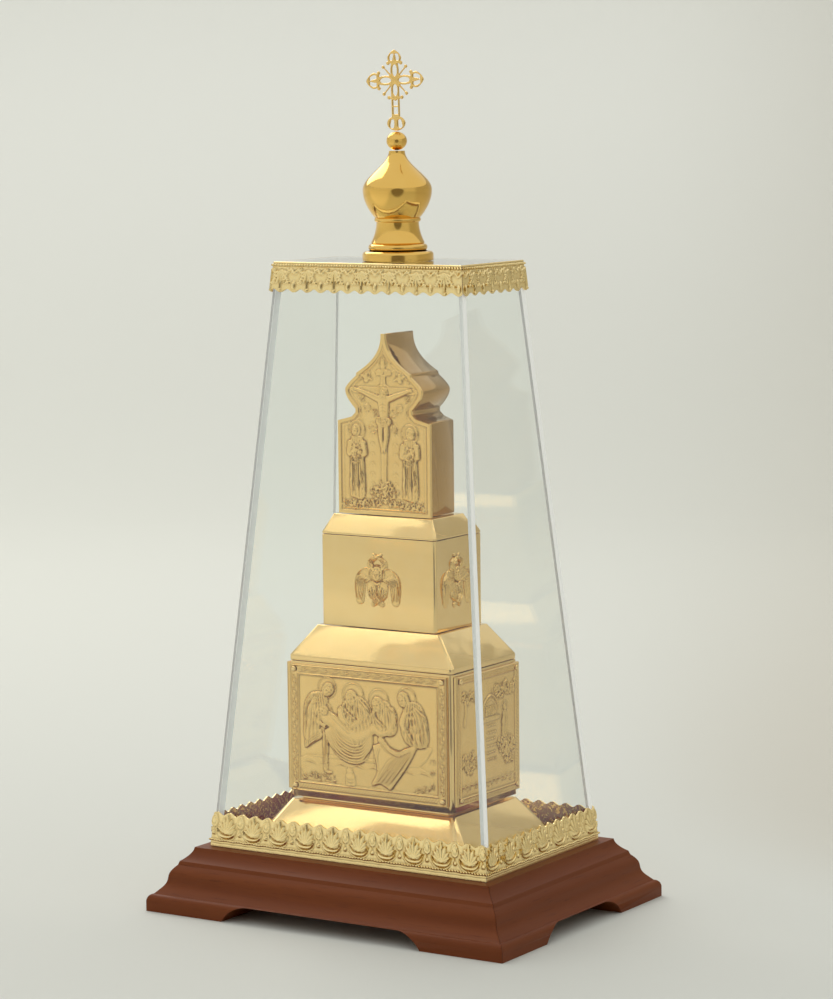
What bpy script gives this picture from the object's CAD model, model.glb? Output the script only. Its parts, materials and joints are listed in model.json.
"""An altar tabernacle dressed for the camera: a gilded casket in storeys under a glass case.

Metres, +Z up, the front looks along -Y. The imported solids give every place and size.
"""

import json
import math

import bmesh
import bpy
import numpy as np
from mathutils import Matrix, Vector

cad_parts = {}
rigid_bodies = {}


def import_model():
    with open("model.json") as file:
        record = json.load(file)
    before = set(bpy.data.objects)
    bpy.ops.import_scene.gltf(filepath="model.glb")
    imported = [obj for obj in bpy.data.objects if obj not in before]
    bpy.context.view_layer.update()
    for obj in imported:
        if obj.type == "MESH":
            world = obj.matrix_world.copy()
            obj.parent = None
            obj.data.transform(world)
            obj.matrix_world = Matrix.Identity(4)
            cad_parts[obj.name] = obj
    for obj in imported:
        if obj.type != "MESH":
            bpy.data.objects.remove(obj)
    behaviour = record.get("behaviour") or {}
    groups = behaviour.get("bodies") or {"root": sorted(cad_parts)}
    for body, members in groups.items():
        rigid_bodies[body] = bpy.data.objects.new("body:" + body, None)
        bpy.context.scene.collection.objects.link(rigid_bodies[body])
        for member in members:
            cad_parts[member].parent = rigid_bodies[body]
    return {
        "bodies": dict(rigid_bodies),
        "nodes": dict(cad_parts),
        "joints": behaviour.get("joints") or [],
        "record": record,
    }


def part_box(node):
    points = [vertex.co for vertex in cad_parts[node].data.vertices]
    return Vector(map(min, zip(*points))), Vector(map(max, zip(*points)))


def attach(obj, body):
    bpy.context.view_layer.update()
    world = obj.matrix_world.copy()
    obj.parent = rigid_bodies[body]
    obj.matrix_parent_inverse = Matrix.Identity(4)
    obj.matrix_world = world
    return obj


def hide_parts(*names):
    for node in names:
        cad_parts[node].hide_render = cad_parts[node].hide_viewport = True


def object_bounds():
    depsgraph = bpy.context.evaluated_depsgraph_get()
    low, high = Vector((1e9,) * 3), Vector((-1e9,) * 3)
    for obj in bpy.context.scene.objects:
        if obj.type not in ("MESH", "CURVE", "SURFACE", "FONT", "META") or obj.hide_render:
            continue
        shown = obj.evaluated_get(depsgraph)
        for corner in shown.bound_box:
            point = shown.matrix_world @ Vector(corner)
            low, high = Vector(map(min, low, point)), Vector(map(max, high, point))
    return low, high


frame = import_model()
cad_box = [list(corner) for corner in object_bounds()]


# Base rails. Four lengths of reddish-brown stained hardwood moulding, mitred at the corners and
# glued: a plinth with a rounded top, a fillet, a cyma, a step and a small cavetto. A long arch
# is sawn out under each rail, and what is left stands as bracket feet.

RAIL_PLINTH = 0.0100
RAIL_PLINTH_ROUND = (0.0033, 0.0045)
RAIL_FILLET = (0.0019, 0.0019)
RAIL_CYMA = (0.0084, 0.0145)
RAIL_CYMA_BEND = 0.12
RAIL_STEP = (0.0008, 0.0022)
RAIL_CAVETTO = (0.0064, 0.0078)
RAIL_TOP_WIDTH = 0.0080
RAIL_REBATE = 0.0100
DECK_THICKNESS = 0.0100
JOINT_GAP = 0.0003
ARCH_RISE = 0.0096
ARCH_RUN = 0.0165
ARCH_FIRST_ANGLE = math.radians(30)
FRONT_FOOT_LENGTH = 0.0540
SIDE_FOOT_LENGTH = 0.0490
RAIL_EDGE_ROUND = 0.0003


def linear(code):
    """An sRGB hex colour as linear light."""
    shares = [int(code[place:place + 2], 16) / 255 for place in (0, 2, 4)]
    bent = [c / 12.92 if c <= 0.04045 else ((c + 0.055) / 1.055) ** 2.4 for c in shares]
    return (*bent, 1.0)


def new_finish(name):
    """A material, its node tree and its shader."""
    material = bpy.data.materials.new(name)
    material.use_nodes = True
    return material, material.node_tree, material.node_tree.nodes["Principled BSDF"]


def add_node(tree, kind, inputs=None, **settings):
    """Adds a node with its settings. An input is a value, or the socket that feeds it."""
    node = tree.nodes.new(kind)
    for name, value in settings.items():
        setattr(node, name, value)
    for name, value in (inputs or {}).items():
        if isinstance(value, bpy.types.NodeSocket):
            tree.links.new(value, node.inputs[name])
        else:
            node.inputs[name].default_value = value
    return node


def lacquered_mahogany(name, run_scale=0.05):
    """Stained mahogany under a thin satin varnish: long dark pores, broad soft figure, and
    little gloss, so that the brown stays deep."""
    pore_spacing = 0.0009
    figure_spacing = 0.020
    material, tree, shader = new_finish(name)
    place = add_node(tree, "ShaderNodeTexCoord")
    run = add_node(tree, "ShaderNodeMapping", {"Vector": place.outputs["Object"],
                                               "Scale": (run_scale, 1.0, 1.0)})
    pores = add_node(tree, "ShaderNodeTexNoise", {"Vector": run.outputs["Vector"],
                                                  "Scale": 1 / pore_spacing, "Detail": 5.0,
                                                  "Roughness": 0.6})
    figure = add_node(tree, "ShaderNodeTexNoise", {"Vector": run.outputs["Vector"],
                                                   "Scale": 1 / figure_spacing,
                                                   "Detail": 3.0, "Distortion": 0.8})
    broad = add_node(tree, "ShaderNodeMixRGB", {"Fac": figure.outputs["Fac"],
                                                "Color1": linear("622B0D"),
                                                "Color2": linear("824218")})
    dark = add_node(tree, "ShaderNodeMapRange", {"Value": pores.outputs["Fac"],
                                                 "From Min": 0.58, "From Max": 0.75,
                                                 "To Max": 0.55})
    grain = add_node(tree, "ShaderNodeMixRGB", {"Fac": dark.outputs["Result"],
                                                "Color1": broad.outputs["Color"],
                                                "Color2": linear("421A0A")})
    tree.links.new(grain.outputs["Color"], shader.inputs["Base Color"])
    dull = add_node(tree, "ShaderNodeMapRange", {"Value": figure.outputs["Fac"],
                                                 "To Min": 0.40, "To Max": 0.52})
    tree.links.new(dull.outputs["Result"], shader.inputs["Roughness"])
    relief = add_node(tree, "ShaderNodeBump", {"Height": pores.outputs["Fac"],
                                               "Strength": 0.10, "Distance": 0.0002})
    tree.links.new(relief.outputs["Normal"], shader.inputs["Normal"])
    shader.inputs["Specular IOR Level"].default_value = 0.20
    return material


def new_piece(name, mesh, material, nodes):
    """Makes a shown piece that rides the casework and stands for its solids."""
    mesh.materials.clear()
    mesh.materials.append(material)
    piece = bpy.data.objects.new(name, mesh)
    bpy.context.scene.collection.objects.link(piece)
    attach(piece, "root")
    if nodes:
        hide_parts(*nodes)
    return piece


def outline_prism(outline, thickness):
    """A mesh of an outline in X and Z, drawn out to both sides of Y = 0."""
    bm = bmesh.new()
    face = bm.faces.new([bm.verts.new((x, -thickness / 2, z)) for x, z in outline])
    grown = bmesh.ops.extrude_face_region(bm, geom=[face])
    moved = [item for item in grown["geom"] if isinstance(item, bmesh.types.BMVert)]
    bmesh.ops.translate(bm, vec=(0, thickness, 0), verts=moved)
    bmesh.ops.recalc_face_normals(bm, faces=bm.faces)
    mesh = bpy.data.meshes.new("prism")
    bm.to_mesh(mesh)
    bm.free()
    return mesh


def settled(mesh, modifiers, smooth_below):
    """The mesh after its modifiers, shaded smooth except along the sharper edges.

    modifiers is a list of (kind, settings).
    """
    draft = bpy.data.objects.new("draft", mesh)
    bpy.context.scene.collection.objects.link(draft)
    for kind, settings in modifiers:
        modifier = draft.modifiers.new(kind.lower(), kind)
        for name, value in settings.items():
            setattr(modifier, name, value)
    graph = bpy.context.evaluated_depsgraph_get()
    done = bpy.data.meshes.new_from_object(draft.evaluated_get(graph))
    bpy.data.objects.remove(draft, do_unlink=True)
    done.shade_smooth()
    done.set_sharp_from_angle(angle=smooth_below)
    return done


def rail_section():
    """The moulding's closed section as (inset, height), up the outside and down the back."""
    points = [(0.0, 0.0)]
    quarter_steps = 14
    for step in range(quarter_steps + 1):
        turn = math.pi / 2 * step / quarter_steps
        inset = RAIL_PLINTH_ROUND[0] * (1 - math.cos(turn))
        points.append((inset, RAIL_PLINTH - RAIL_PLINTH_ROUND[1] * (1 - math.sin(turn))))
    inset = RAIL_PLINTH_ROUND[0] + RAIL_FILLET[0]
    height = RAIL_PLINTH + RAIL_FILLET[1]
    cyma_steps = 22
    for step in range(cyma_steps + 1):
        share = step / cyma_steps
        bent = share + RAIL_CYMA_BEND * math.sin(2 * math.pi * share)
        points.append((inset + RAIL_CYMA[0] * bent, height + RAIL_CYMA[1] * share))
    inset += RAIL_CYMA[0] + RAIL_STEP[0]
    height += RAIL_CYMA[1] + RAIL_STEP[1]
    cavetto_steps = 14
    for step in range(cavetto_steps + 1):
        share = step / cavetto_steps
        hollow = (share + 1 - math.sqrt(1 - share * share)) / 2
        points.append((inset + RAIL_CAVETTO[0] * share, height + RAIL_CAVETTO[1] * hollow))
    top = height + RAIL_CAVETTO[1]
    shelf = inset + RAIL_CAVETTO[0] + RAIL_TOP_WIDTH
    ledge = top - DECK_THICKNESS - JOINT_GAP
    return points + [(shelf, top), (shelf, ledge), (shelf + RAIL_REBATE, ledge),
                     (shelf + RAIL_REBATE, 0.0)]


def rail_arch(half_span):
    """The sawn opening: a steep cove at each end and flat between them."""
    rising = [(half_span, -ARCH_RISE)]
    cove_steps = 12
    low = math.sin(ARCH_FIRST_ANGLE)
    for step in range(cove_steps + 1):
        turn = ARCH_FIRST_ANGLE + (math.pi / 2 - ARCH_FIRST_ANGLE) * step / cove_steps
        run = ARCH_RUN * (1 - math.cos(turn) / math.cos(ARCH_FIRST_ANGLE))
        rising.append((half_span - run, ARCH_RISE * (math.sin(turn) - low) / (1 - low)))
    return rising + [(-x, z) for x, z in reversed(rising)]


def base_rail(side, half_length, half_across, foot_length, turn):
    """A mitred rail along X at the front, with its arch sawn out, turned to its side."""
    bm = bmesh.new()
    face = bm.faces.new([bm.verts.new((0, inset, height)) for inset, height in rail_section()])
    grown = bmesh.ops.extrude_face_region(bm, geom=[face])
    moved = {item for item in grown["geom"] if isinstance(item, bmesh.types.BMVert)}
    for vertex in bm.verts:
        mitre = half_length - vertex.co.y - JOINT_GAP / 2
        vertex.co.x = mitre if vertex in moved else -mitre
        vertex.co.y -= half_across
    bmesh.ops.recalc_face_normals(bm, faces=bm.faces)
    mesh = bpy.data.meshes.new(f"rail_{side}")
    bm.to_mesh(mesh)
    bm.free()
    reach = 4 * (RAIL_TOP_WIDTH + RAIL_REBATE + RAIL_CYMA[0])
    saw = bpy.data.objects.new("saw", outline_prism(rail_arch(half_length - foot_length), reach))
    saw.location.y = -half_across
    bpy.context.scene.collection.objects.link(saw)
    mesh = settled(mesh, [
        ("BOOLEAN", {"operation": "DIFFERENCE", "object": saw, "solver": "EXACT"}),
        ("BEVEL", {"width": RAIL_EDGE_ROUND, "segments": 2, "limit_method": "ANGLE",
                   "angle_limit": math.radians(14), "harden_normals": True}),
    ], math.radians(14))
    bpy.data.objects.remove(saw, do_unlink=True)
    node = f"base_rail_{side}"
    rail = new_piece(f"moulded_rail_{side}", mesh, lacquered_mahogany(f"mahogany_{side}"),
                     [node])
    rail.rotation_euler.z = turn


base_low = Vector(cad_box[0])
base_high = Vector(cad_box[1])
QUARTER = math.pi / 2
base_rail("front", base_high.x, base_high.y, FRONT_FOOT_LENGTH, 0)
base_rail("right", base_high.y, base_high.x, SIDE_FOOT_LENGTH, QUARTER)
base_rail("back", base_high.x, base_high.y, FRONT_FOOT_LENGTH, 2 * QUARTER)
base_rail("left", base_high.y, base_high.x, SIDE_FOOT_LENGTH, -QUARTER)


# Base deck. A flat board of the same wood set into the rails, covered inside the case with dark
# cherry-red velvet that shows between the gallery and the casket.

def cherry_velvet():
    """Short cotton pile, glued down: deep red with a soft sheen where the pile turns."""
    pile_patch = 0.006
    pile_pitch = 0.0006
    material, tree, shader = new_finish("cherry_velvet")
    place = add_node(tree, "ShaderNodeTexCoord")
    patch = add_node(tree, "ShaderNodeTexNoise", {"Vector": place.outputs["Object"],
                                                  "Scale": 1 / pile_patch, "Detail": 4.0})
    hue = add_node(tree, "ShaderNodeMixRGB", {"Fac": patch.outputs["Fac"],
                                              "Color1": linear("5A1520"),
                                              "Color2": linear("8A2C38")})
    tree.links.new(hue.outputs["Color"], shader.inputs["Base Color"])
    pile = add_node(tree, "ShaderNodeTexNoise", {"Vector": place.outputs["Object"],
                                                 "Scale": 1 / pile_pitch, "Detail": 2.0})
    nap = add_node(tree, "ShaderNodeBump", {"Height": pile.outputs["Fac"], "Strength": 0.5,
                                            "Distance": 0.0003})
    tree.links.new(nap.outputs["Normal"], shader.inputs["Normal"])
    shader.inputs["Roughness"].default_value = 0.9
    shader.inputs["Sheen Weight"].default_value = 0.6
    shader.inputs["Sheen Tint"].default_value = linear("B05048")
    return material


deck = frame["nodes"]["base_deck"]
deck.data.materials.clear()
deck.data.materials.append(cherry_velvet())


# Tabernacle foot. A hollow skirt folded from polished gilded brass sheet, its corners dressed
# into narrow cones that widen downward, with a low plinth on top that sets the chest off.

SHEET = 0.0012
SHEET_EDGE_ROUND = 0.0004
CORNER_STEPS = 8
FOOT_CORNER = 0.0100
CHEST_CORNER = 0.0030
PLINTH_SETBACK = 0.0045
PLINTH_RISE = 0.0016


def polished_gilding(name, wave=0.016, dark="F6CF88", light="FAD897"):
    """Gold plate over polished brass sheet: a clean mirror with a warm pale tone, bent a little
    by the waves that hand work leaves in thin sheet, and faintly clouded by handling."""
    wave_spacing = 0.024
    cloud_spacing = 0.011
    material, tree, shader = new_finish(name)
    place = add_node(tree, "ShaderNodeTexCoord")
    cloud = add_node(tree, "ShaderNodeTexNoise", {"Vector": place.outputs["Object"],
                                                  "Scale": 1 / cloud_spacing,
                                                  "Detail": 4.0})
    hue = add_node(tree, "ShaderNodeMixRGB", {"Fac": cloud.outputs["Fac"],
                                              "Color1": linear(dark),
                                              "Color2": linear(light)})
    tree.links.new(hue.outputs["Color"], shader.inputs["Base Color"])
    dull = add_node(tree, "ShaderNodeMapRange", {"Value": cloud.outputs["Fac"],
                                                 "From Min": 0.35, "From Max": 0.70,
                                                 "To Min": 0.08, "To Max": 0.14})
    tree.links.new(dull.outputs["Result"], shader.inputs["Roughness"])
    waves = add_node(tree, "ShaderNodeTexNoise", {"Vector": place.outputs["Object"],
                                                  "Scale": 1 / wave_spacing,
                                                  "Detail": 1.0})
    dents = add_node(tree, "ShaderNodeBump", {"Height": waves.outputs["Fac"],
                                              "Strength": wave, "Distance": wave_spacing})
    tree.links.new(dents.outputs["Normal"], shader.inputs["Normal"])
    shader.inputs["Metallic"].default_value = 1.0
    return material


def rounded_ring(bm, half_x, half_y, radius, height):
    """The points of a rectangle with round corners at a height."""
    ring = []
    for corner in range(4):
        sign_x = 1 if corner in (0, 3) else -1
        sign_y = 1 if corner < 2 else -1
        for step in range(CORNER_STEPS + 1):
            angle = math.pi / 2 * (corner + step / CORNER_STEPS)
            x = sign_x * (half_x - radius) + radius * math.cos(angle)
            y = sign_y * (half_y - radius) + radius * math.sin(angle)
            ring.append(bm.verts.new((x, y, height)))
    return ring


def folded_sheet(levels):
    """Rings of (half_x, half_y, radius, height) joined in a chain and capped at both ends. The
    chain runs over the outside of a sheet wall and back along its inside."""
    bm = bmesh.new()
    rings = [rounded_ring(bm, *level) for level in levels]
    for first, second in zip(rings, rings[1:]):
        for index in range(len(first)):
            bm.faces.new((first[index - 1], first[index], second[index], second[index - 1]))
    bm.faces.new(rings[0])
    bm.faces.new(rings[-1])
    bmesh.ops.recalc_face_normals(bm, faces=bm.faces)
    mesh = bpy.data.meshes.new("sheet")
    bm.to_mesh(mesh)
    bm.free()
    return settled(mesh, [
        ("BEVEL", {"width": SHEET_EDGE_ROUND, "segments": 3, "limit_method": "ANGLE",
                   "angle_limit": math.radians(20), "harden_normals": True}),
    ], math.radians(35))


def wall_offsets(run, rise):
    """How far the inside of a leaning wall stands below its foot's bend and in at its top."""
    slope = math.hypot(run, rise)
    return SHEET * (slope - rise) / run, SHEET * (slope - run) / rise


def middle_of(node):
    low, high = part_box(node)
    return (Vector(low) + Vector(high)) / 2


def half_size_of(node):
    low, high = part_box(node)
    return (Vector(high) - Vector(low)) / 2


foot_low, foot_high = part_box("tabernacle_foot")
foot_half = half_size_of("tabernacle_foot")
chest_half = half_size_of("lower_chest")
foot_shoulder = foot_high[2] - PLINTH_RISE
set_x = chest_half.x - PLINTH_SETBACK
set_y = chest_half.y - PLINTH_SETBACK
foot_run = foot_half.x - chest_half.x
foot_rise = foot_shoulder - foot_low[2]
foot_bend = wall_offsets(foot_run, foot_rise)[1]
foot_wall = SHEET * math.hypot(foot_run, foot_rise) / foot_rise
corner_inside = CHEST_CORNER - SHEET
foot_mesh = folded_sheet([
    (set_x, set_y, CHEST_CORNER, foot_high[2]),
    (set_x, set_y, CHEST_CORNER, foot_shoulder),
    (chest_half.x, chest_half.y, CHEST_CORNER, foot_shoulder),
    (foot_half.x, foot_half.y, FOOT_CORNER, foot_low[2]),
    (foot_half.x - foot_wall, foot_half.y - foot_wall, FOOT_CORNER - SHEET, foot_low[2]),
    (chest_half.x - foot_bend, chest_half.y - foot_bend, corner_inside, foot_shoulder - SHEET),
    (set_x - SHEET, set_y - SHEET, corner_inside, foot_shoulder - SHEET),
    (set_x - SHEET, set_y - SHEET, corner_inside, foot_high[2] - SHEET),
])
foot = new_piece("gilded_foot_skirt", foot_mesh, polished_gilding("polished_gilding_foot", 0.0),
                 ["tabernacle_foot"])
foot.location.y = middle_of("tabernacle_foot").y


# Lower chest. A box of the same gilded sheet with rounded upright corners and an open top, which
# the hipped lid closes. Its walls show as narrow polished margins round the relief plates.

chest_low, chest_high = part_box("lower_chest")


def open_box(half_x, half_y, corner, low, high):
    """A sheet box with a floor and an open top."""
    inside = (half_x - SHEET, half_y - SHEET, corner - SHEET)
    return folded_sheet([
        (half_x, half_y, corner, low),
        (half_x, half_y, corner, high),
        (*inside, high),
        (*inside, low + SHEET),
    ])


chest_mesh = open_box(chest_half.x, chest_half.y, CHEST_CORNER, chest_low[2], chest_high[2])
chest = new_piece("lower_chest_box", chest_mesh, polished_gilding("polished_gilding_chest"),
                  ["lower_chest"])
chest.location.y = middle_of("lower_chest").y


# Relief plates. Four gilded brass plates, one on each wall of the lower chest, pressed and then
# chased by hand: the Entombment in front, a rocky garden with a tomb on both ends and a plain
# lozenge behind. A rope or leaf border runs round each one.

CHASING_RISE = 0.0015
PLATE_FRAME_RISE = 0.0006
PLATE_THICKNESS = 0.0016
FRONT_CHASING_PITCH = 0.00034
SIDE_CHASING_PITCH = 0.00038


def toned_by_hollows(tree, colour, deepest):
    """The colour where the sheet stands up, toward the deepest tone in its hollows."""
    hollow = add_node(tree, "ShaderNodeAttribute", attribute_name="hollow")
    return add_node(tree, "ShaderNodeMixRGB", {"Fac": hollow.outputs["Fac"], "Color1": colour,
                                               "Color2": linear(deepest)}).outputs["Color"]


def chased_gilding(name, ground_roughness=0.22):
    """Gold plate over pressed and chased brass: satin ground left by the punches, with a fine
    even tooth. The struck lines have toned brown, and what stands up is rubbed bright."""
    tooth_spacing = 0.0007
    cloud_spacing = 0.009
    material, tree, shader = new_finish(name)
    place = add_node(tree, "ShaderNodeTexCoord")
    cloud = add_node(tree, "ShaderNodeTexNoise", {"Vector": place.outputs["Object"],
                                                  "Scale": 1 / cloud_spacing,
                                                  "Detail": 4.0})
    hue = add_node(tree, "ShaderNodeMixRGB", {"Fac": cloud.outputs["Fac"],
                                              "Color1": linear("F2C578"),
                                              "Color2": linear("FAD68E")})
    tree.links.new(toned_by_hollows(tree, hue.outputs["Color"], "8A5A26"),
                   shader.inputs["Base Color"])
    dull = add_node(tree, "ShaderNodeMapRange", {"Value": cloud.outputs["Fac"],
                                                 "From Min": 0.3, "From Max": 0.7,
                                                 "To Min": ground_roughness - 0.04,
                                                 "To Max": ground_roughness + 0.04})
    tree.links.new(dull.outputs["Result"], shader.inputs["Roughness"])
    tooth = add_node(tree, "ShaderNodeTexNoise", {"Vector": place.outputs["Object"],
                                                  "Scale": 1 / tooth_spacing,
                                                  "Detail": 2.0})
    grit = add_node(tree, "ShaderNodeBump", {"Height": tooth.outputs["Fac"],
                                             "Strength": 0.12, "Distance": 0.00015})
    tree.links.new(grit.outputs["Normal"], shader.inputs["Normal"])
    shader.inputs["Metallic"].default_value = 1.0
    return material


def bowed(points, steps=6):
    """A smooth curve through a few points, as a Catmull-Rom spline."""
    hand = [np.array(point, dtype=float) for point in points]
    hand = [2 * hand[0] - hand[1]] + hand + [2 * hand[-1] - hand[-2]]
    curve = []
    for first, second, third, fourth in zip(hand, hand[1:], hand[2:], hand[3:]):
        for step in range(steps):
            t = step / steps
            curve.append(0.5 * (2 * second + (third - first) * t
                                + (2 * first - 5 * second + 4 * third - fourth) * t * t
                                + (3 * second - first - 3 * third + fourth) * t ** 3))
    return curve + [hand[-2]]


class Chasing:
    """A sheet's face under the punches: heights over a grid, 1 where it stands highest."""

    def __init__(self, x, z):
        self.x = x
        self.z = z
        self.rise = np.zeros_like(x)

    def _near(self, curve, reach):
        """Where a curve can touch: a mask, the distance to it, the share along it, its side."""
        low = np.min(curve, axis=0) - reach
        high = np.max(curve, axis=0) + reach
        near = ((self.x > low[0]) & (self.x < high[0]) & (self.z > low[1])
                & (self.z < high[1]))
        x = self.x[near]
        z = self.z[near]
        away = np.full(x.shape, np.inf)
        share = np.zeros(x.shape)
        runs = [math.dist(a, b) for a, b in zip(curve, curve[1:])]
        total = max(sum(runs), 1e-9)
        gone = 0.0
        for start, end, run in zip(curve, curve[1:], runs):
            t = np.zeros(x.shape)
            if run > 0:
                t = ((x - start[0]) * (end[0] - start[0])
                     + (z - start[1]) * (end[1] - start[1])) / run ** 2
                t = np.clip(t, 0, 1)
            reached = np.hypot(x - start[0] - t * (end[0] - start[0]),
                               z - start[1] - t * (end[1] - start[1]))
            closer = reached < away
            away = np.where(closer, reached, away)
            share = np.where(closer, (gone + t * run) / total, share)
            gone += run
        return near, away, share

    def limb(self, points, first_radius, last_radius, rise=0.6, base=0.0):
        """A round form along a curve, tapering from one radius to the other."""
        curve = bowed(points) if len(points) > 1 else [np.array(points[0], float)] * 2
        reach = max(first_radius, last_radius)
        near, away, share = self._near(curve, reach)
        radius = first_radius + (last_radius - first_radius) * share
        dome = np.sqrt(np.clip(1 - (away / radius) ** 2, 0, 1))
        lift = np.where(dome > 0, base + rise * dome, 0)
        self.rise[near] = np.maximum(self.rise[near], lift)

    def crease(self, points, width, rise):
        """A ridge, or a groove where rise is negative, that fades out at both ends."""
        near, away, share = self._near(bowed(points), width)
        fade = np.sin(math.pi * np.clip(share, 0.03, 0.97)) ** 0.5
        line = np.cos(math.pi / 2 * np.clip(away / (width * fade), 0, 1)) ** 2
        self.rise[near] += rise * line * fade

    def fall(self, first, second, count, width, rise):
        """Folds that swing from one curve's course to another's."""
        for index in range(count):
            share = index / max(1, count - 1)
            path = [tuple((1 - share) * np.array(a) + share * np.array(b))
                    for a, b in zip(first, second)]
            self.crease(path, width, rise * (1.5 if index % 2 == 0 else 0.9))

    def area(self, points, edge, rise, base=0.0, drape=0.26):
        """A form inside a closed curve, round along its edge, with folds that hang
        from its top and fan out."""
        outline = bowed(list(points) + [points[0]], 4)
        near, away, _ = self._near(outline, edge)
        x = self.x[near]
        z = self.z[near]
        inside = np.zeros(x.shape, dtype=bool)
        for start, end in zip(outline, outline[1:]):
            if start[1] == end[1]:
                continue
            crosses = (start[1] > z) != (end[1] > z)
            at = start[0] + (z - start[1]) / (end[1] - start[1]) * (end[0] - start[0])
            inside ^= crosses & (x < at)
        round_over = np.sqrt(1 - (1 - np.clip(away / (0.35 * edge), 0, 1)) ** 2)
        low = np.min(outline, axis=0)
        high = np.max(outline, axis=0)
        wide, tall = high - low
        fan = np.arctan2(x - (low[0] + high[0]) / 2, high[1] + 0.8 * tall - z)
        count = max(2, round(wide / (0.62 * edge)))
        folds = np.cos(2 * math.pi * count * fan * 1.3 * tall / wide) * round_over
        lift = np.where(inside, base + rise * round_over + drape * rise * folds, 0)
        self.rise[near] = np.maximum(self.rise[near], lift)

    def ring(self, centre, radius, width, rise, disc=0.0):
        """A round line with a slightly raised disc inside it, as a halo has."""
        away = np.hypot(self.x - centre[0], self.z - centre[1])
        line = np.cos(math.pi / 2 * np.clip(np.abs(away - radius) / width, 0, 1)) ** 2
        raised = np.where(away < radius, disc, 0) + rise * line
        self.rise = np.maximum(self.rise, raised)

    def head(self, centre, size, lean=0.0, turn=0.0, veil=False, beard=False, base=0.55):
        """A small head of plain proportions, leaning and turned a little to one side."""
        x = self.x - centre[0]
        z = self.z - centre[1]
        across = (x * math.cos(lean) + z * math.sin(lean)) / size
        up = (z * math.cos(lean) - x * math.sin(lean)) / size
        hood = np.sqrt(np.clip(1 - (across / 0.98) ** 2 - ((up - 0.12) / 1.16) ** 2, 0, 1))
        strands = np.cos((5 if veil else 12) * np.arctan2(up + 0.2, across + 0.4 * turn))
        lift = np.where(hood > 0, base + 0.14 * hood + 0.10 * strands * hood, 0)
        face_across = across - 0.34 * turn
        face = np.sqrt(np.clip(1 - (face_across / 0.64) ** 2 - ((up + 0.10) / 0.84) ** 2, 0, 1))
        form = base + 0.20 + 0.30 * face

        def spot(side, level, wide, tall):
            return np.exp(-((face_across - side) / wide) ** 2 - ((up - level) / tall) ** 2)

        middle = 0.20 * turn
        form += 0.22 * spot(middle, -0.14, 0.10, 0.22) + 0.08 * spot(middle, 0.24, 0.45, 0.07)
        form -= 0.13 * spot(middle, -0.46, 0.22, 0.06)
        for side in (-0.27, 0.27):
            form -= 0.20 * spot(middle + side, 0.04, 0.15, 0.11)
        if beard:
            form += spot(middle, -0.80, 0.45, 0.28) * (0.10 + 0.16 * np.cos(10 * face_across))
        self.rise = np.maximum(self.rise, np.maximum(lift, np.where(face > 0, form, 0)))

    def hand(self, wrist, tip, size, base=0.5):
        """A hand as a palm and four fingers laid together."""
        wrist = np.array(wrist)
        tip = np.array(tip)
        along = (tip - wrist) / max(np.linalg.norm(tip - wrist), 1e-9)
        side = np.array([-along[1], along[0]])
        knuckles = wrist + 0.5 * (tip - wrist)
        self.limb([tuple(wrist), tuple(knuckles)], 0.45 * size, 0.50 * size, 0.30, base)
        for finger in range(4):
            spread = (finger - 1.5) * 0.25 * size
            end = tip + side * spread * 1.2
            self.limb([tuple(knuckles + side * spread), tuple(end)], 0.16 * size,
                      0.12 * size, 0.22, base)

    def leafy(self, centre, size, leaves, seed, rise=0.5):
        """A clump of leaves or a rough rock: small rounded strokes set at odd angles."""
        random = np.random.default_rng(seed)
        for _ in range(leaves):
            turn = random.uniform(0, 2 * math.pi)
            away = size * math.sqrt(random.uniform(0, 1))
            start = (centre[0] + away * math.cos(turn), centre[1] + 0.75 * away * math.sin(turn))
            lean = random.uniform(0.15, 0.85) * math.pi
            length = size * random.uniform(0.25, 0.5)
            end = (start[0] + length * math.cos(lean), start[1] + length * math.sin(lean))
            self.limb([start, end], size * random.uniform(0.10, 0.17), size * 0.05,
                      rise * random.uniform(0.5, 1.0), 0.12)

    def rope(self, start, end, width, pitch, slant=0.5, rise=0.5):
        """A twisted rope: slanting beads along a straight line."""
        start = np.array(start)
        end = np.array(end)
        length = np.linalg.norm(end - start)
        along = (end - start) / length
        side = np.array([-along[1], along[0]])
        count = max(1, round(length / pitch))
        for index in range(count):
            middle = start + along * (index + 0.5) * length / count
            lean = along * pitch * slant + side * width
            self.limb([tuple(middle - lean / 2), tuple(middle + lean / 2)], 0.34 * pitch,
                      0.34 * pitch, rise, 0.1)


def hollows(lift, reach, strength):
    """How far each grid point lies below the sheet around it, from 0 to 1."""
    around = lift
    for axis in (0, 1):
        for step in (1, 1, 2):
            around = (around + np.roll(around, step * reach, axis)
                      + np.roll(around, -step * reach, axis)) / 3
    return np.clip((around - lift) * strength, 0, 1)


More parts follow.
